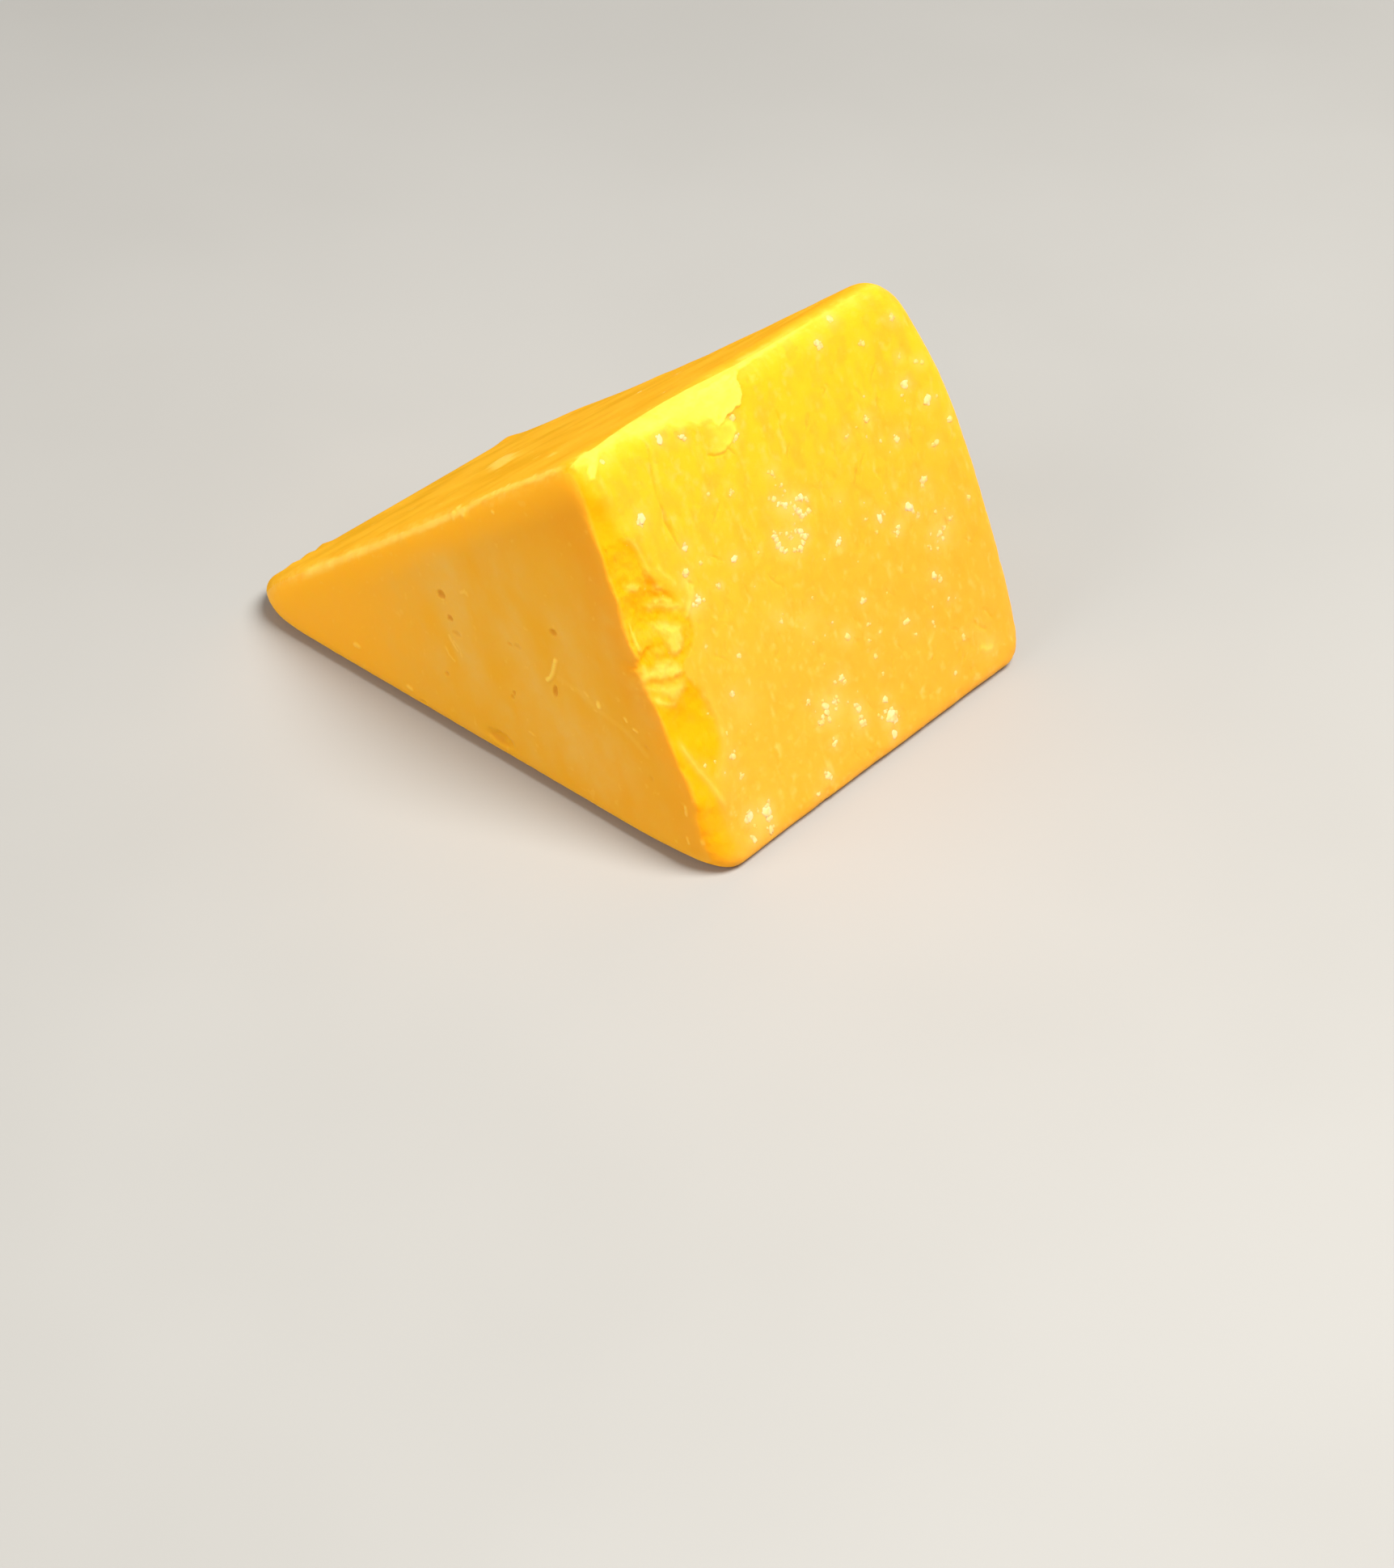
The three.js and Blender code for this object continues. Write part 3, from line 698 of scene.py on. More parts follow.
def relief(p):
    """Height in mm of the fine form over the plain skin, and what colours it."""
    base, front, back, upper, outer = faces_of(p)
    stack = np.stack([base, front, back, upper, outer], -1)
    top = stack.max(-1, keepdims=True)
    share = np.exp((stack - top) / 0.6)
    share /= share.sum(-1, keepdims=True)
    m_base, m_front, m_back, m_upper, m_outer = share.T
    second = np.sort(stack, axis=-1)[:, -2]
    edge = np.exp(-(((top[:, 0] - second) / 1.5) ** 2)) * (1 - m_base)
    near_ground = smooth(0.0, 1.6, p[:, 2])
    meets = np.exp(-((np.minimum(front, 0) / 2.5) ** 2) - ((np.minimum(outer, 0) / 2.5) ** 2))
    h = np.zeros(len(p))
    tone = np.zeros(len(p))
    ends = m_front + m_back

    # Front and back faces: almost flat, with faint hollows and drag.
    f = FRONT.flat(p)
    lean = np.stack([f[:, 0] * 0.86 + f[:, 1] * 0.5, f[:, 1] * 0.86 - f[:, 0] * 0.5, p[:, 1] * 0.4], -1)
    h += ends * (
        0.10 * fbm(p / 16.0, 3, 2)
        + 0.035 * fbm(lean / np.array([1.6, 9.0, 6.0]), 5, 3)
        + 0.012 * fbm(p / 1.3, 8, 2)
    )
    drag = lean + 2.2 * np.stack([fbm(p / 9.0, 109, 2), fbm(p / 9.0 + 5.0, 111, 2), p[:, 1] * 0], -1)
    cloud = fbm(drag / np.array([6.5, 13.0, 20.0]) + 4.1, 61, 3)
    middle = np.exp(-(((p[:, 0] - 14) / 28) ** 4) - (((p[:, 2] - 20) / 18.5) ** 4))
    marble = middle * (0.52 + 1.25 * cloud) + (0.08 + 0.17 * middle) * smooth(0.05, 0.5, fbm(lean / np.array([2.2, 4.5, 6.0]), 63, 3))
    marble = np.clip(marble, 0, 1)

    # Upper cut: long waves left along the knife's way, and small terraces.
    c = UPPER.flat(p)
    q = np.stack([c[:, 1] / 8.0 + 0.02 * c[:, 0] + 0.40 * fbm(p / 16.0, 113, 2), c[:, 0] / 26.0, p[:, 2] * 0], -1)
    waves = 0.15 * fbm(q * 0.8, 11, 2) + 0.010 * fbm(q * np.array([4.0, 1.5, 1]), 13, 2) + 0.015 * fbm(p / 3.0, 129, 2)
    waves *= smooth(0.5, 6.0, -front) * smooth(0.5, 5.0, -back)
    h += m_upper * (waves + 0.012 * fbm(p / 1.2, 15, 2))
    blot = np.stack([c[:, 0] / 10.0, c[:, 1] / 8.5, p[:, 2] * 0 + 2.0], -1)
    bands = smooth(-0.55, 0.55, 0.5 * fbm(q * np.array([1.0, 0.9, 1]) + 5.0, 65, 2) + 0.8 * fbm(blot, 115, 3))
    thin = smooth(0.34, 0.62, fbm(np.stack([c[:, 0] / 3.6, c[:, 1] / 2.2, p[:, 2] * 0 + 6.0], -1), 131, 4)) * m_upper
    tone = paler(tone, 0.35 * thin)
    for outline, height, amount in UPPER_PATCHES:
        d = to_outline(c, outline) + 1.5 * fbm(p / 2.4, 67, 4)
        mask = smooth(-0.5, 1.3, d) * m_upper
        h += height * mask
        tone = paler(tone, amount * mask)

    # Outer side: low lumps, streaks down it, creases and small dents.
    q = outer_flat(p)
    skin = smooth(-3.0, -1.0, outer)
    streak = np.stack([q[:, 0] / 2.4 + 0.3 * np.sin(q[:, 1] / 9), q[:, 1] / 15.0, q[:, 0] * 0], -1)
    flat3 = np.stack([q[:, 0], q[:, 1] * 0.62, q[:, 0] * 0 + 3.7], -1)
    dents = smooth(0.30, 0.75, noise(flat3 / 1.5, 21))
    dimples = smooth(0.25, 0.70, noise(flat3 / 0.85 + 7.0, 117)) * smooth(-0.25, 0.45, noise(p / 5.0, 119))
    lumps = fbm(flat3 / 5.5, 17, 3)
    streaks = fbm(streak, 19, 3)
    blotch = fbm(flat3 / 1.9 + 31.0, 91, 3)
    h += m_outer * (
        0.14 * lumps
        + 0.03 * streaks
        - 0.15 * dents * smooth(-0.2, 0.5, noise(p / 7.0, 23))
        - 0.09 * dimples
        + 0.030 * fbm(p / 1.1, 25, 2)
    )
    # Painted shade in the creases, darker where they are deeper, and faintly in the dimples.
    crease_shade = np.zeros(len(p))
    some = np.where(outer > -3)[0]
    for line, deep, width in STROKES:
        close = some[np.abs(q[some] - line[2]).max(1) < 5]
        d, t = to_line(q[close], line)
        cut = np.exp(-((d / width) ** 2)) * np.sin(np.pi * np.clip(t, 0.02, 0.98)) ** 0.7
        h[close] -= deep * cut
        crease_shade[close] = np.maximum(crease_shade[close], cut * deep / 0.13)
    # Painted light: the outer side is coloured yellower toward the ridge and more orange toward its foot, as the light
    # falls on it.
    ridge_light = np.clip((q[:, 1] + 33) / 66, 0, 1)
    mottle = 0.50 * fbm(flat3 / 3.4 + 8.0, 69, 4) + 0.08 * streaks + 0.25 * lumps + 0.42 * blotch - 0.20 * dimples
    strokes_of = np.stack([q[:, 0] / 0.8, q[:, 1] / 1.3, q[:, 0] * 0 + 1.5], -1)
    paleness = smooth(0.12, 0.70, fbm(flat3 / 1.3 + 2.0, 71, 3) + 0.30 * noise(strokes_of, 93) + 0.10 * noise(p / 8.0, 123))
    for at, reach, amount in CLOUDS:
        d = np.linalg.norm(q - at, axis=1) * (1 + 0.3 * noise(p / 1.2, 73))
        paleness = np.maximum(paleness, (amount / 0.45) * np.exp(-((d / reach) ** 2)))
    # Underside: pressed flat, a few shallow hollows only.
    h += m_base * np.minimum(0, 0.12 * fbm(p / 6.0, 27, 3) - 0.05)
    # Worn edges.
    h += edge * near_ground * (0.07 * fbm(p / 2.4, 29, 3) + 0.04 * fbm(p / 0.9, 31, 2))
    broken = edge * meets * near_ground
    h += broken * (0.16 * fbm(p / 2.2, 103, 3) + 0.05 * ridges(p / 1.1, 105, 2))
    for at, reach, height in BUMPS:
        h += height * near(p, at, reach)

    # The broken strip along the front edge of the outer side.
    past = beyond_break(q) + 0.22 * fbm(p / 1.1, 33, 2)
    on_strip = smooth(-6.0, -4.0, outer) * smooth(-14.0, -12.5, front) * smooth(0.5, -0.3, q[:, 0] + 24)
    on_strip *= 1 - smooth(0.55, 0.8, m_front)
    low_end = smooth(26.0, 12.0, p[:, 2])
    ease = np.maximum(low_end, smooth(43.0, 49.0, p[:, 2]))
    strip = smooth(-0.25 - 1.1 * ease, 0.55 + 1.2 * ease, past) * on_strip
    rough = smooth(22.0, 27.0, p[:, 2]) * smooth(47.0, 41.0, p[:, 2])
    step = np.interp(p[:, 2], [2, 8, 20, 26, 36, 46, 50, 56], [0, 0.05, 0.10, 0.14, 0.18, 0.16, 0.10, 0.0])
    h -= strip * step
    h += strip * rough * (0.24 * fbm(p / 2.6, 35, 2) + 0.12 * ridges(p / 1.9, 37, 3) + 0.10 * fbm(p / 0.9, 121, 2) - 0.05)
    h += strip * (1 - rough) * (0.10 * fbm(p / 2.4, 39, 3) + 0.04 * fbm(p / 0.8, 133, 2))
    # The strip is deeper orange: partly the broken cheese's own colour, partly painted shade where its faces turn from
    # the light.
    tone_strip = strip * (-1.0 + 0.15 * low_end + 0.35 * (1 - rough) * fbm(p / 1.8, 135, 3) + rough * (0.30 + 0.8 * fbm(p / 1.3, 75, 3)))
    tone_strip *= 0.45 + 0.55 * smooth(0.5, 6.0, p[:, 2])
    grain = fbm(p / 1.5, 137, 3)
    for outline, height, soft, amount in PATCHES:
        d = to_outline(q, outline) + 0.50 * fbm(p / 1.4, 41, 3)
        mask = smooth(-0.45 - soft / 2, 0.35 + soft, d) * smooth(-6.0, -4.0, outer) * (front > -14)
        h += 0.62 * height * mask
        tone_strip = tone_strip * (1 - mask) + amount * (1 + 0.45 * grain) * mask
    for line, height, width, amount in LINES:
        d, t = to_line(q, line)
        mask = np.exp(-((d / width) ** 2)) * np.clip(np.sin(np.pi * t) * 3, 0, 1) * smooth(-6.0, -4.0, outer)
        h += height * mask
        tone_strip = tone_strip * (1 - mask) + amount * mask
    tone = np.where(np.abs(tone_strip) > np.abs(tone), tone_strip, tone)

    # Cheese smeared over the ridge: a thin layer with a thicker lip.
    ragged = 0.30 * fbm(p / 1.1, 43, 3)
    d = to_outline(q, FLAP_FLAT) + ragged
    right = smooth(-13.0, -8.0, q[:, 0])
    drawn = np.stack([(q[:, 0] + q[:, 1]) / 1.1, (q[:, 1] - q[:, 0]) / 3.2, q[:, 0] * 0 + 9.0], -1)
    d += 0.8 * (1 - right) * fbm(drawn, 125, 3)
    flap = smooth(-0.12 - 0.8 * (1 - right), 0.25 + 1.5 * (1 - right), d) * skin
    h += (0.10 + 0.16 * right) * flap + 0.12 * right * np.exp(-(((d - 0.4) / 0.35) ** 2)) * skin
    d = to_outline(q, LOBE_FLAT) + 0.6 * ragged
    lobe = smooth(-0.10, 0.22, d) * skin * (1 - flap) * smooth(-12.6, -9.0, q[:, 0])
    lip = np.exp(-(((d - 0.55) / 0.60) ** 2)) * skin * (1 - flap) * smooth(-12.0, -10.0, q[:, 0])
    h += 0.16 * lobe + 0.04 * lip
    d = to_outline(q, HOOK_FLAT) + 0.5 * ragged
    hook = smooth(-0.15, 0.25, d) * smooth(-4.0, -2.0, outer)
    h += 0.16 * hook
    across = upper - outer
    inner = np.interp(q[:, 0], RIM[:, 0], RIM[:, 1])
    outerly = np.interp(q[:, 0], RIM[:, 0], RIM[:, 2])
    wobble = 0.7 * fbm(p / 1.3, 77, 3)
    rim = smooth(inner - 0.35 - 0.8 * (1 - right), inner + 0.25 + 0.9 * (1 - right), across + wobble) * smooth(outerly + 0.25, outerly - 0.15, across)
    rim *= (upper > -6) & (outer > -6)
    rim *= smooth(-0.6, -2.0, front) * (1 - smooth(0.2, 0.5, m_front))
    rim *= np.interp(q[:, 0], [-36, -33, 0, 10, 30], [0.6, 1.0, 0.9, 0.6, 0.2])
    h += 0.08 * rim
    flaps = np.maximum.reduce([flap * (0.75 + 0.25 * right), 0.34 * lobe, 0.46 * lip, 0.8 * hook, 0.8 * rim])
    flaps *= 0.80 + 0.30 * fbm(p / 1.5, 101, 3) + 0.30 * (1 - right) * fbm(drawn, 127, 3)

    # Painted highlight along the front face's upper edge, over a faint raised bead.
    d, t = to_line(p, EDGE_HIGHLIGHT_LINE)
    d += 0.18 * fbm(p / 1.2, 95, 2)
    line = smooth(0.85 + 0.45 * smooth(0.5, 0.0, t), 0.10, d) * (0.60 + 0.40 * smooth(-0.3, 0.4, fbm(p / 3.0, 97, 2)))
    line *= smooth(0.0, 0.05, t) * smooth(1.0, 0.97, t)
    for at, reach in EDGE_HIGHLIGHT_SPOTS:
        line = np.maximum(line, smooth(1.1, 0.4, np.linalg.norm(p - at, axis=1) / reach + 0.25 * noise(p / 0.6, 99)))
    h += 0.07 * line
    tone = paler(tone, (0.74 + 0.18 * smooth(0.5, 0.0, t)) * line)

    # Crack down the outer side: one side stands a little higher.
    d, t = to_line(p, CRACK)
    line = outer_flat(CRACK)
    order = np.argsort(line[:, 1])
    side = np.interp(q[:, 1], line[order, 1], line[order, 0]) - q[:, 0]
    width = 0.15 + 0.25 * np.exp(-(((t - 0.76) / 0.12) ** 2))
    ends_of = smooth(0.0, 0.1, t) * smooth(1.0, 0.93, t)
    groove = np.exp(-((d / width) ** 2)) * ends_of
    h -= (0.12 + 0.20 * np.exp(-(((t - 0.76) / 0.15) ** 2))) * groove
    h += 0.07 * smooth(0.12, -0.12, side) * np.exp(-((d / 1.3) ** 2)) * ends_of * skin
    d, t = to_line(p, CRACK_LIP)
    lip = np.exp(-((d / 0.4) ** 2)) * np.sin(np.pi * t)
    tone = np.where(lip > 0.2, np.maximum(tone, 0.25 * lip), tone)
    # Painted shade in the crack's groove.
    deep = groove * 0.35

    # Pits in the front face, with painted shade in them.
    for at, ru, rv, depth in PITS:
        r = p - at
        e = np.sqrt((r @ FRONT.u / ru) ** 2 + (r @ FRONT.v / rv) ** 2 + (r @ FRONT.normal / 2) ** 2)
        hole = smooth(1.15, 0.35, e + 0.14 * noise(p / 0.4, 45))
        h -= depth * hole
        h += 0.05 * np.exp(-(((e - 1.25) / 0.3) ** 2)) * min(1, depth / 0.5)
        deep = np.maximum(deep, hole * min(1, 0.15 + depth / 0.7))
    # Curls, specks and scratches on the front face, a notch in its lower edge.
    d, t = to_line(p, SLIVER)
    mask = smooth(0.50, 0.12, d)
    h += 0.30 * mask
    tone = paler(tone, 0.75 * mask)
    for line, width, height, amount in SPECKS:
        d, _ = to_line(p, line)
        mask = smooth(width * 1.3, width * 0.3, d + 0.3 * width * noise(p / 0.5, 79))
        h += height * mask
        tone = paler(tone, amount * mask)
    r = p - BITE
    d = np.sqrt((r @ FRONT.u / 2.4) ** 2 + (r @ FRONT.v / 1.2) ** 2 + (r @ FRONT.normal / 2) ** 2)
    notch = smooth(1.35, 0.1, d + 0.30 * fbm(p / 1.2, 47, 2))
    h -= 0.8 * notch
    # Painted shade in the notch.
    deep = np.maximum(deep, 0.22 * notch)

    looks = {
        "front": ends,
        "upper": m_upper,
        "outer": m_outer,
        # Paler edges: partly wear, partly a painted highlight on their rounding.
        "edge": edge * (1 - 0.95 * np.clip(1.3 * meets, 0, 1)),
        "ridge_light": ridge_light,
        "marble": marble * ends,
        "bands": bands * m_upper,
        "mottle": np.clip(0.5 + mottle, 0, 1),
        "paleness": np.clip(paleness, 0, 1) * m_outer * (1 - strip) * (1 - flap) * (1 - 0.45 * ridge_light),
        "pale": np.clip(tone, 0, 1),
        "deep": np.clip(-tone, 0, 1),
        "strip": np.clip(strip, 0, 1),
        "flap": np.clip(flaps, 0, 1),
        "crease_shade": np.clip(np.maximum(crease_shade, 0.18 * dimples), 0, 1) * m_outer,
        "hollow_shade": np.clip(deep, 0, 1),
        # Painted glow: redder orange on the front face along its edge with the outer side, under its upper right edge,
        # and low on its right.
        "edge_glow": ends * np.clip(
            np.exp(-((outer / 9) ** 2)) * smooth(12, 34, p[:, 2])
            + 0.8 * np.exp(-((outer / 5) ** 2))
            + 0.50 * smooth(-15.0, -5.0, upper) * smooth(-12.0, 14.0, p[:, 0])
            + 0.5 * np.exp(-(((f[:, 0] - 26) / 12) ** 2) - ((p[:, 2] - 8) / 8) ** 2), 0, 1),
        # Painted light: a brighter gold band along the front face's foot and its upper edge.
        "edge_band_light": ends * np.clip(np.exp(-((p[:, 2] / 2.2) ** 2)) + smooth(-7.5, -1.5, upper), 0, 1),
        # Painted shade: the front face darker toward its right side and away from its upper edge.
        "inner": ends * smooth(-32, 8, p[:, 0]) * smooth(-1.0, -7.0, upper),
    }
    return h, looks


points, tris = coarse_grid(44)
points = to_surface(points)
points, tris = refine(points, tris)
normals = corner_normals(points, tris)
height, looks = relief(points)
points = points + normals * height[:, None]
points[:, 2] = np.maximum(points[:, 2], 0.0)
print("cheese:", len(points), "points,", len(tris), "triangles")


def make_mesh(name, verts, faces):
    mesh = bpy.data.meshes.new(name)
    mesh.from_pydata((verts * MM).tolist(), [], faces.tolist())
    mesh.validate()
    mesh.polygons.foreach_set("use_smooth", np.ones(len(mesh.polygons), bool))
    mesh.update()
    ob = bpy.data.objects.new(name, mesh)
    bpy.context.scene.collection.objects.link(ob)
    return ob


def add_values(ob, values):
    for key, value in values.items():
        made = ob.data.attributes.new(key, "FLOAT", "POINT")
        made.data.foreach_set("value", np.asarray(value, np.float32))


cheese = make_mesh("cheese_wedge", points, tris)

# ---------------------------------------------------------------- crystals
def ball(level):
    """Points and triangles of a unit ball made from an icosahedron."""
    g = (1 + 5**0.5) / 2
    v = [(-1, g, 0), (1, g, 0), (-1, -g, 0), (1, -g, 0), (0, -1, g), (0, 1, g),
         (0, -1, -g), (0, 1, -g), (g, 0, -1), (g, 0, 1), (-g, 0, -1), (-g, 0, 1)]
    f = [(0, 11, 5), (0, 5, 1), (0, 1, 7), (0, 7, 10), (0, 10, 11), (1, 5, 9), (5, 11, 4),
         (11, 10, 2), (10, 7, 6), (7, 1, 8), (3, 9, 4), (3, 4, 2), (3, 2, 6), (3, 6, 8),
         (3, 8, 9), (4, 9, 5), (2, 4, 11), (6, 2, 10), (8, 6, 7), (9, 8, 1)]
    v = [unit(np.array(x, float)) for x in v]
    for _ in range(level):
        cache, made = {}, []

        def middle(a, b):
            key = (min(a, b), max(a, b))
            if key not in cache:
                cache[key] = len(v)
                v.append(unit(v[a] + v[b]))
            return cache[key]

        for a, b, c in f:
            ab, bc, ca = middle(a, b), middle(b, c), middle(c, a)
            made += [(a, ab, ca), (ab, b, bc), (ca, bc, c), (ab, bc, ca)]
        f = made
    return np.array(v), np.array(f)


def gradient(p):
    g = np.zeros_like(p)
    for k in range(3):
        e = np.zeros(3)
        e[k] = 0.05
        g[:, k] = outside(p + e) - outside(p - e)
    return g / np.linalg.norm(g, axis=1)[:, None]


def surface_height(p):
    return relief(p)[0]


def pebbles(at, size, up, flat, sunk, seed):
    """Small uneven lumps, pressed a little into the skin, as one mesh."""
    verts, faces, owner, count = [], [], [], 0
    for k, (p, s, n) in enumerate(zip(at, size, up)):
        v, f = ball(2 if s > 0.6 else 1)
        stretch = np.array([RANDOM.uniform(0.85, 1.25), RANDOM.uniform(0.8, 1.1), RANDOM.uniform(*flat)])
        v = v * (1 + 0.34 * noise(v * 1.5 + RANDOM.random(3) * 40, seed))[:, None] * stretch * s / 2
        side = unit(np.cross(n, RANDOM.normal(size=3)))
        turn = np.stack([side, np.cross(n, side), n])
        verts.append(v @ turn + p - n * s * sunk)
        faces.append(f + count)
        owner.append(np.full(len(v), k))
        count += len(v)
    return np.concatenate(verts), np.concatenate(faces), np.concatenate(owner)


def place_crystals():
    at = [p for p in spots([(x, y) for x, y, _, _ in CRYSTALS])]
    size = [s for _, _, s, _ in CRYSTALS]
    white = [w for _, _, _, w in CRYSTALS]
    for centre, spread, count in DRIFTS:
        middle = spots([centre])[0]
        for _ in range(count):
            r = spread * math.sqrt(RANDOM.random())
            a = RANDOM.random() * 2 * math.pi
            p = middle + r * math.cos(a) * OUTER.u + r * math.sin(a) * OUTER.v
            p = to_surface(p[None])[0]
            if p[2] > 2.0 and p[1] > -31:
                at.append(p)
                size.append(RANDOM.uniform(0.28, 0.6))
                white.append(RANDOM.uniform(0.1, 0.55))
    # A thin scatter over the back and the upper cut, as on the outer side.
    for corners, count in (((TIP_BACK, RIDGE_BACK, FOOT_BACK), 14), ((TIP_BACK, RIDGE_BACK, RIDGE_FRONT), 3)):
        for _ in range(count):
            w = RANDOM.dirichlet((1.6, 1.6, 1.6))
            p = to_surface((w[0] * corners[0] + w[1] * corners[1] + w[2] * corners[2])[None])[0]
            at.append(p)
            size.append(RANDOM.uniform(0.35, 0.8))
            white.append(RANDOM.uniform(0.2, 0.7))
    for p, s, w in list(zip(at, size, white)):
        for _ in range(RANDOM.integers(0, 4) if s > 0.65 else RANDOM.integers(0, 2)):
            a = RANDOM.random() * 2 * math.pi
            r = s * RANDOM.uniform(0.35, 0.75)
            at.append(to_surface((p + r * math.cos(a) * OUTER.u + r * math.sin(a) * OUTER.v)[None])[0])
            size.append(s * RANDOM.uniform(0.35, 0.7))
            white.append(w * RANDOM.uniform(0.5, 0.9))
    at, size, white = np.array(at), np.array(size), np.array(white)
    n = gradient(at)
    at = at + n * surface_height(at)[:, None]
    verts, faces, owner = pebbles(at, size * 1.25, n, (0.30, 0.42), 0.10, 51)
    return verts, faces, owner, at, size, white


crystal_points, crystal_tris, crystal_owner, crystal_at, crystal_size, crystal_white = place_crystals()
crystals = make_mesh("crystals", crystal_points, crystal_tris)
add_values(crystals, {"white": crystal_white[crystal_owner]})
print("crystals:", len(crystal_at), "with", len(crystal_tris), "triangles")


def place_crumbs():
    """Crumbs left on the broken strip and a few along the edges."""
    order = np.argsort(BREAK_LINE[:, 1])
    at, size = [], []
    for _ in range(12):
        v = RANDOM.uniform(-2, 19) if RANDOM.random() < 0.8 else RANDOM.uniform(-24, 26)
        edge = np.interp(v, BREAK_LINE[order, 1], BREAK_LINE[order, 0])
        u = edge - 0.8 - abs(RANDOM.normal(0.6, 2.0))
        at.append(OUTER.middle + max(u, -33.5) * OUTER.u + v * OUTER.v)
        size.append(RANDOM.uniform(0.3, 0.7))
    for a, b, count in ((TIP_FRONT, FOOT_FRONT, 7), (TIP_FRONT, RIDGE_FRONT, 5), (FOOT_FRONT, FOOT_BACK, 5)):
        for _ in range(count):
            at.append(a + (b - a) * RANDOM.uniform(0.15, 0.9) + np.array([0, 0, 1.0 if a[2] + b[2] < 1 else 0]))
            size.append(RANDOM.uniform(0.3, 0.6))
    at, size = to_surface(np.array(at)), np.array(size)
    n = gradient(at)
    at = at + n * surface_height(at)[:, None]
    keep = at[:, 2] > 0.8
    return pebbles(at[keep], size[keep], n[keep], (0.45, 0.70), 0.30, 53)[:2]


crumb_points, crumb_tris = place_crumbs()
crumbs = make_mesh("crumbs", crumb_points, crumb_tris)
print("crumbs:", len(crumb_tris), "triangles")

# Paler cheese round each crystal.
bloom = np.zeros(len(points))
for p, s, w in zip(crystal_at, crystal_size, crystal_white):
    close = np.abs(points - p).max(1) < 3
    bloom[close] = np.maximum(bloom[close], w * near(points[close], p, 0.55 + 0.75 * s))
looks_noise = smooth(-0.5, 0.5, fbm(points / 0.9, 107, 2))
bloom *= 0.6 + 0.4 * looks_noise
looks["bloom"] = bloom
add_values(cheese, looks)
add_values(crumbs, {"outer": np.ones(len(crumb_points)), "ridge_light": np.full(len(crumb_points), 0.5),
                    "mottle": np.full(len(crumb_points), 0.5), "pale": 0.45 + 0.2 * noise(crumb_points / 2.0, 81)})

# ---------------------------------------------------------------- materials
class Nodes:
    def __init__(self, name):
        self.material = bpy.data.materials.new(name)
        self.material.use_nodes = True
        self.tree = self.material.node_tree
        self.tree.nodes.clear()
        self.out = self.tree.nodes.new("ShaderNodeOutputMaterial")
        self.shader = self.tree.nodes.new("ShaderNodeBsdfPrincipled")
        self.link(self.shader.outputs["BSDF"], self.out.inputs["Surface"])
        self.where = self.tree.nodes.new("ShaderNodeTexCoord").outputs["Object"]

    def link(self, a, b):
        self.tree.links.new(a, b)

    def put(self, socket, value):
        if isinstance(value, bpy.types.NodeSocket):
            self.link(value, socket)
        else:
            socket.default_value = value

    def attribute(self, name):
        n = self.tree.nodes.new("ShaderNodeAttribute")
        n.attribute_name = name
        return n.outputs["Fac"]

    def stretched(self, scale, turn=(0, 0, 0)):
        n = self.tree.nodes.new("ShaderNodeMapping")
        n.inputs["Scale"].default_value = scale
        n.inputs["Rotation"].default_value = turn
        self.link(self.where, n.inputs["Vector"])
        return n.outputs["Vector"]

    def noise(self, scale, detail=3, rough=0.5, vector=None, distort=0.0):
        n = self.tree.nodes.new("ShaderNodeTexNoise")
        n.inputs["Scale"].default_value = scale
        n.inputs["Detail"].default_value = detail
        n.inputs["Roughness"].default_value = rough
        n.inputs["Distortion"].default_value = distort
        self.link(vector or self.where, n.inputs["Vector"])
        return n.outputs["Fac"]

    def span(self, value, lo, hi, to_lo=0.0, to_hi=1.0):
        n = self.tree.nodes.new("ShaderNodeMapRange")
        n.interpolation_type = "SMOOTHSTEP"
        self.put(n.inputs["Value"], value)
        n.inputs["From Min"].default_value = lo
        n.inputs["From Max"].default_value = hi
        n.inputs["To Min"].default_value = to_lo
        n.inputs["To Max"].default_value = to_hi
        return n.outputs["Result"]

    def math(self, kind, a, b=None):
        n = self.tree.nodes.new("ShaderNodeMath")
        n.operation = kind
        self.put(n.inputs[0], a)
        if b is not None:
            self.put(n.inputs[1], b)
        return n.outputs["Value"]

    def mix(self, amount, a, b):
        n = self.tree.nodes.new("ShaderNodeMix")
        n.data_type = "RGBA"
        self.put(n.inputs[0], amount)
        self.put(n.inputs[6], a)
        self.put(n.inputs[7], b)
        return n.outputs[2]

    def bump(self, height, distance, strength=1.0, normal=None):
        n = self.tree.nodes.new("ShaderNodeBump")
        n.inputs["Strength"].default_value = strength
        n.inputs["Distance"].default_value = distance
        self.link(height, n.inputs["Height"])
        if normal is not None:
            self.link(normal, n.inputs["Normal"])
        return n.outputs["Normal"]


def rgb(r, g, b):
    return (r, g, b, 1.0)


# Linear colours.
FRONT_TONE = rgb(0.920, 0.405, 0.020)
FRONT_SHADE = rgb(0.805, 0.375, 0.018)
FRONT_LIGHT = rgb(0.795, 0.425, 0.062)
FRONT_GLOW = rgb(0.810, 0.330, 0.012)
GOLD = rgb(0.975, 0.425, 0.012)
UPPER_TONE = rgb(0.760, 0.325, 0.011)
UPPER_LIGHT = rgb(0.905, 0.404, 0.021)
# OUTER_TOP and OUTER_LOW are one rind under more and under less light, painted in.
OUTER_TOP = rgb(0.960, 0.477, 0.013)
OUTER_LOW = rgb(0.940, 0.388, 0.030)
OUTER_DEEP = rgb(0.930, 0.365, 0.022)
OUTER_LIGHT = rgb(0.960, 0.530, 0.105)
TORN_TONE = rgb(0.950, 0.375, 0.001)
PALE = rgb(0.970, 0.610, 0.095)
FLAP_TONE = rgb(0.970, 0.800, 0.100)
CREAM = rgb(0.960, 0.545, 0.200)
SHADE = rgb(0.62, 0.235, 0.008)


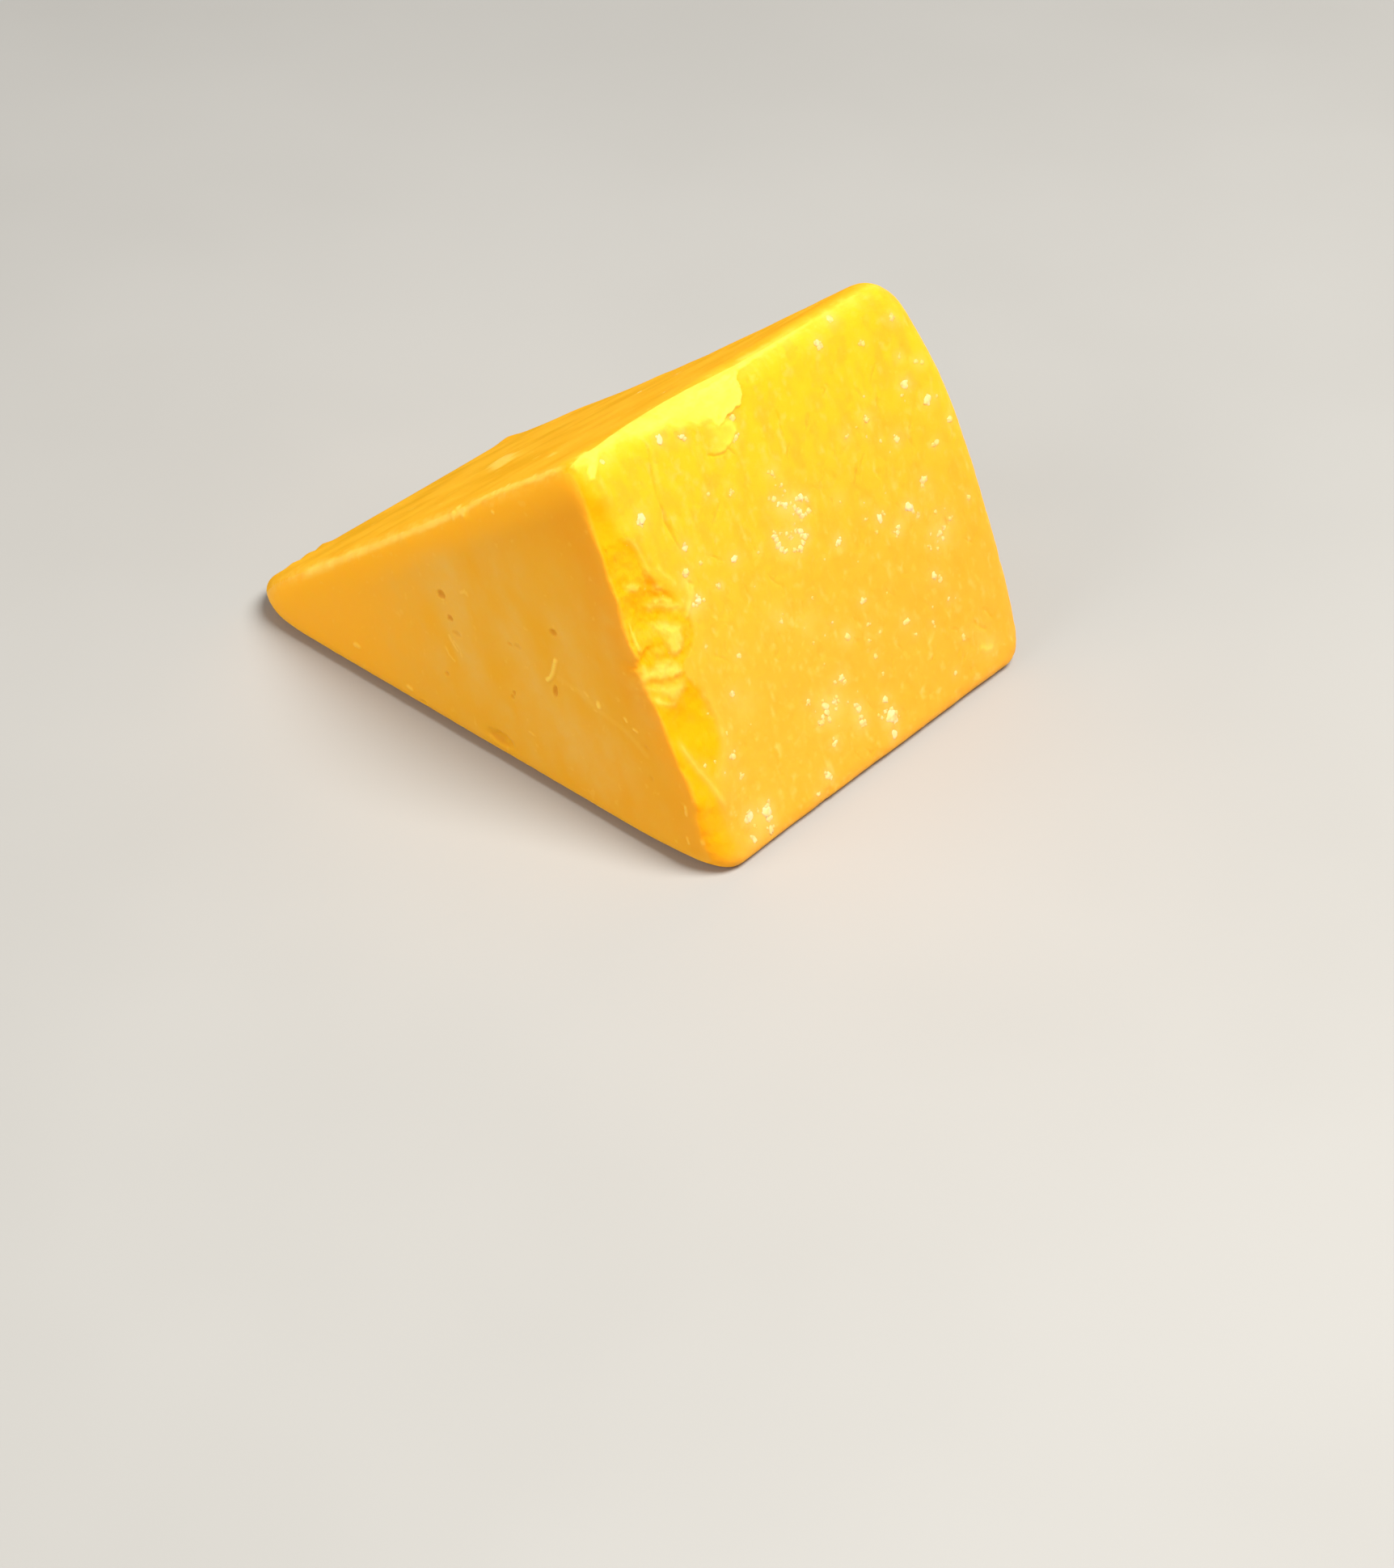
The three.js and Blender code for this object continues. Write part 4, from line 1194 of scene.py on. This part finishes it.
def cheese_material(name, sheen, grain_size):
    m = Nodes(name)
    s = m.shader
    times = lambda a, b: m.math("MULTIPLY", a, b)
    # Each face's own colour, with painted light and shade laid over the front face
    # and the outer side.
    # Painted shade on the front face away from the tip and the upper edge.
    front = m.mix(m.attribute("inner"), FRONT_TONE, FRONT_SHADE)
    # Painted glow, redder orange near the front face's edges.
    front = m.mix(m.attribute("edge_glow"), front, FRONT_GLOW)
    clouds = times(m.attribute("marble"), m.span(m.noise(240, 4, 0.6, distort=0.5), 0.25, 0.7, 0.55, 1.0))
    front = m.mix(clouds, front, FRONT_LIGHT)
    # Painted light along the front face's foot and upper edge.
    front = m.mix(m.attribute("edge_band_light"), front, GOLD)
    upper = m.mix(m.attribute("bands"), UPPER_TONE, UPPER_LIGHT)
    # Painted light: yellower toward the ridge, more orange toward the foot.
    outer = m.mix(m.span(m.attribute("ridge_light"), 0.25, 1.0), OUTER_LOW, OUTER_TOP)
    mottle = m.attribute("mottle")
    outer = m.mix(m.span(mottle, 0.66, 0.16, 0.0, 0.58), outer, OUTER_DEEP)
    outer = m.mix(times(m.attribute("paleness"), 0.72), outer, OUTER_LIGHT)
    streaks = m.span(m.noise(1.0, 4, 0.6, m.stretched((320, 560, 260))), 0.54, 0.78, 0.0, 0.20)
    outer = m.mix(streaks, outer, OUTER_LIGHT)
    colour = m.mix(m.attribute("front"), GOLD, front)
    colour = m.mix(m.attribute("upper"), colour, upper)
    colour = m.mix(m.attribute("outer"), colour, outer)
    # Small pale curds just under the skin.
    curds = m.span(m.noise(620, 2, 0.4), 0.66, 0.76, 0.0, 0.14)
    colour = m.mix(curds, colour, PALE)
    # Edges are paler, partly from wear and partly as a painted highlight along their
    # rounding; broken cheese deeper, partly painted shade; smears and crumbs pale.
    wear_and_highlight = times(m.attribute("edge"), m.span(m.noise(330, 3, 0.6), 0.42, 0.66, 0.10, 0.42))
    wear_and_highlight = times(wear_and_highlight, m.math("SUBTRACT", 1.0, m.attribute("strip")))
    colour = m.mix(wear_and_highlight, colour, PALE)
    # Deeper orange on the broken strip, partly painted shade.
    colour = m.mix(m.attribute("deep"), colour, TORN_TONE)
    # Pale marks, among them the painted highlight along the front face's upper edge and on raised lips of the broken
    # strip.
    colour = m.mix(m.attribute("pale"), colour, PALE)
    # Painted shade in the creases and dimples of the outer side.
    colour = m.mix(times(m.attribute("crease_shade"), 0.55), colour, OUTER_DEEP)
    smear = times(m.attribute("flap"), m.span(m.noise(420, 3, 0.6), 0.25, 0.55, 0.72, 1.0))
    colour = m.mix(smear, colour, FLAP_TONE)
    colour = m.mix(times(m.attribute("bloom"), 0.31), colour, CREAM)
    # Painted shade in the pits, the crack and the notch.
    colour = m.mix(times(m.attribute("hollow_shade"), 0.42), colour, SHADE)
    m.put(s.inputs["Base Color"], colour)
    rough = m.span(m.noise(180, 4, 0.6), 0.3, 0.7, 0.38, 0.54)
    rough = m.math("ADD", rough, times(m.attribute("strip"), 0.10))
    m.put(s.inputs["Roughness"], rough)
    s.inputs["Subsurface Weight"].default_value = 0.4
    s.inputs["Subsurface Radius"].default_value = (1.0, 0.42, 0.10)
    s.inputs["Subsurface Scale"].default_value = 0.0025
    s.inputs["IOR"].default_value = 1.45
    s.inputs["Specular IOR Level"].default_value = sheen
    fine = m.noise(1500, 3, 0.55)
    grain = m.noise(480, 3, 0.5)
    height = m.math("ADD", times(grain, 1.6), fine)
    m.put(s.inputs["Normal"], m.bump(height, grain_size, 0.6))
    return m.material


def crystal_material():
    m = Nodes("crystal")
    s = m.shader
    tone = m.span(m.noise(900, 2, 0.5), 0.35, 0.65)
    white = m.mix(tone, rgb(0.96, 0.60, 0.20), rgb(0.97, 0.66, 0.30))
    m.put(s.inputs["Base Color"], m.mix(m.attribute("white"), rgb(0.95, 0.50, 0.06), white))
    m.put(s.inputs["Roughness"], m.span(m.noise(700, 2, 0.5), 0.3, 0.7, 0.45, 0.62))
    s.inputs["Specular IOR Level"].default_value = 0.2
    s.inputs["Subsurface Weight"].default_value = 0.4
    s.inputs["Subsurface Radius"].default_value = (1.0, 0.9, 0.6)
    s.inputs["Subsurface Scale"].default_value = 0.0004
    s.inputs["IOR"].default_value = 1.5
    m.put(s.inputs["Normal"], m.bump(m.noise(2400, 2, 0.5), 0.00004, 0.5))
    return m.material


def floor_material():
    m = Nodes("floor")
    s = m.shader
    tone = m.span(m.noise(9, 3, 0.5), 0.3, 0.7)
    m.put(s.inputs["Base Color"], m.mix(tone, rgb(0.40, 0.39, 0.37), rgb(0.42, 0.41, 0.39)))
    s.inputs["Roughness"].default_value = 0.75
    return m.material


# The upper cut is drier than the rest and has no sheen.
cheese.data.materials.append(cheese_material("cheese", 0.06, 0.00006))
cheese.data.materials.append(cheese_material("cheese_dry_cut", 0.0, 0.00010))
dry = looks["upper"][tris].mean(1) > 0.5
cheese.data.polygons.foreach_set("material_index", dry.astype(np.int32))
crumbs.data.materials.append(cheese.data.materials[0])
crystals.data.materials.append(crystal_material())
for ob in (cheese, crystals, crumbs):
    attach(ob, "root")
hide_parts("cheese")

# ---------------------------------------------------------------- the studio
floor = bpy.data.meshes.new("floor")
floor.from_pydata([(-4, -4, 0), (4, -4, 0), (4, 4, 0), (-4, 4, 0)], [], [(0, 1, 2, 3)])
floor = bpy.data.objects.new("floor", floor)
floor.location = (0, 0, -0.00002)
bpy.context.scene.collection.objects.link(floor)
floor.data.materials.append(floor_material())


def lamp(name, direction, distance, size, power, colour=(1, 1, 1), aim=(0.0, 0.0, 0.03)):
    data = bpy.data.lights.new(name, "AREA")
    data.shape = "DISK"
    data.size = size
    data.energy = power
    data.color = colour
    ob = bpy.data.objects.new(name, data)
    d = unit(np.array(direction, float))
    at = np.array(aim) + d * distance
    x = unit(np.cross([0, 0, 1.0], d))
    y = np.cross(d, x)
    ob.matrix_world = Matrix([
        (x[0], y[0], d[0], at[0]), (x[1], y[1], d[1], at[1]), (x[2], y[2], d[2], at[2]), (0, 0, 0, 1),
    ])
    bpy.context.scene.collection.objects.link(ob)
    return ob


lamp("key", (0.42, 0.10, 0.90), 0.9, 0.5, 13.0, (1.0, 0.985, 0.95))
lamp("fill", (-0.20, -1.0, 0.40), 1.1, 0.9, 6.4, (1.0, 0.99, 0.97))

world = bpy.data.worlds.new("room")
world.use_nodes = True
world.node_tree.nodes["Background"].inputs["Color"].default_value = (1.0, 0.985, 0.96, 1.0)
world.node_tree.nodes["Background"].inputs["Strength"].default_value = 0.28
bpy.context.scene.world = world

camera = bpy.data.cameras.new("camera")
camera.sensor_width = 36.0
camera.sensor_fit = "AUTO"
camera.lens = FOCAL / FRAME_H * 36.0
camera.clip_start, camera.clip_end = 0.01, 50
camera = bpy.data.objects.new("camera", camera)
at = EYE * MM
camera.matrix_world = Matrix([
    (RIGHT[0], UP[0], -AHEAD[0], at[0]),
    (RIGHT[1], UP[1], -AHEAD[1], at[1]),
    (RIGHT[2], UP[2], -AHEAD[2], at[2]),
    (0, 0, 0, 1),
])
bpy.context.scene.collection.objects.link(camera)
bpy.context.scene.camera = camera

bpy.context.scene.view_settings.view_transform = "Standard"
bpy.context.scene.view_settings.look = "None"
bpy.context.scene.view_settings.exposure = 0.0
bpy.context.scene.view_settings.gamma = 1.0

bpy.context.view_layer.update()
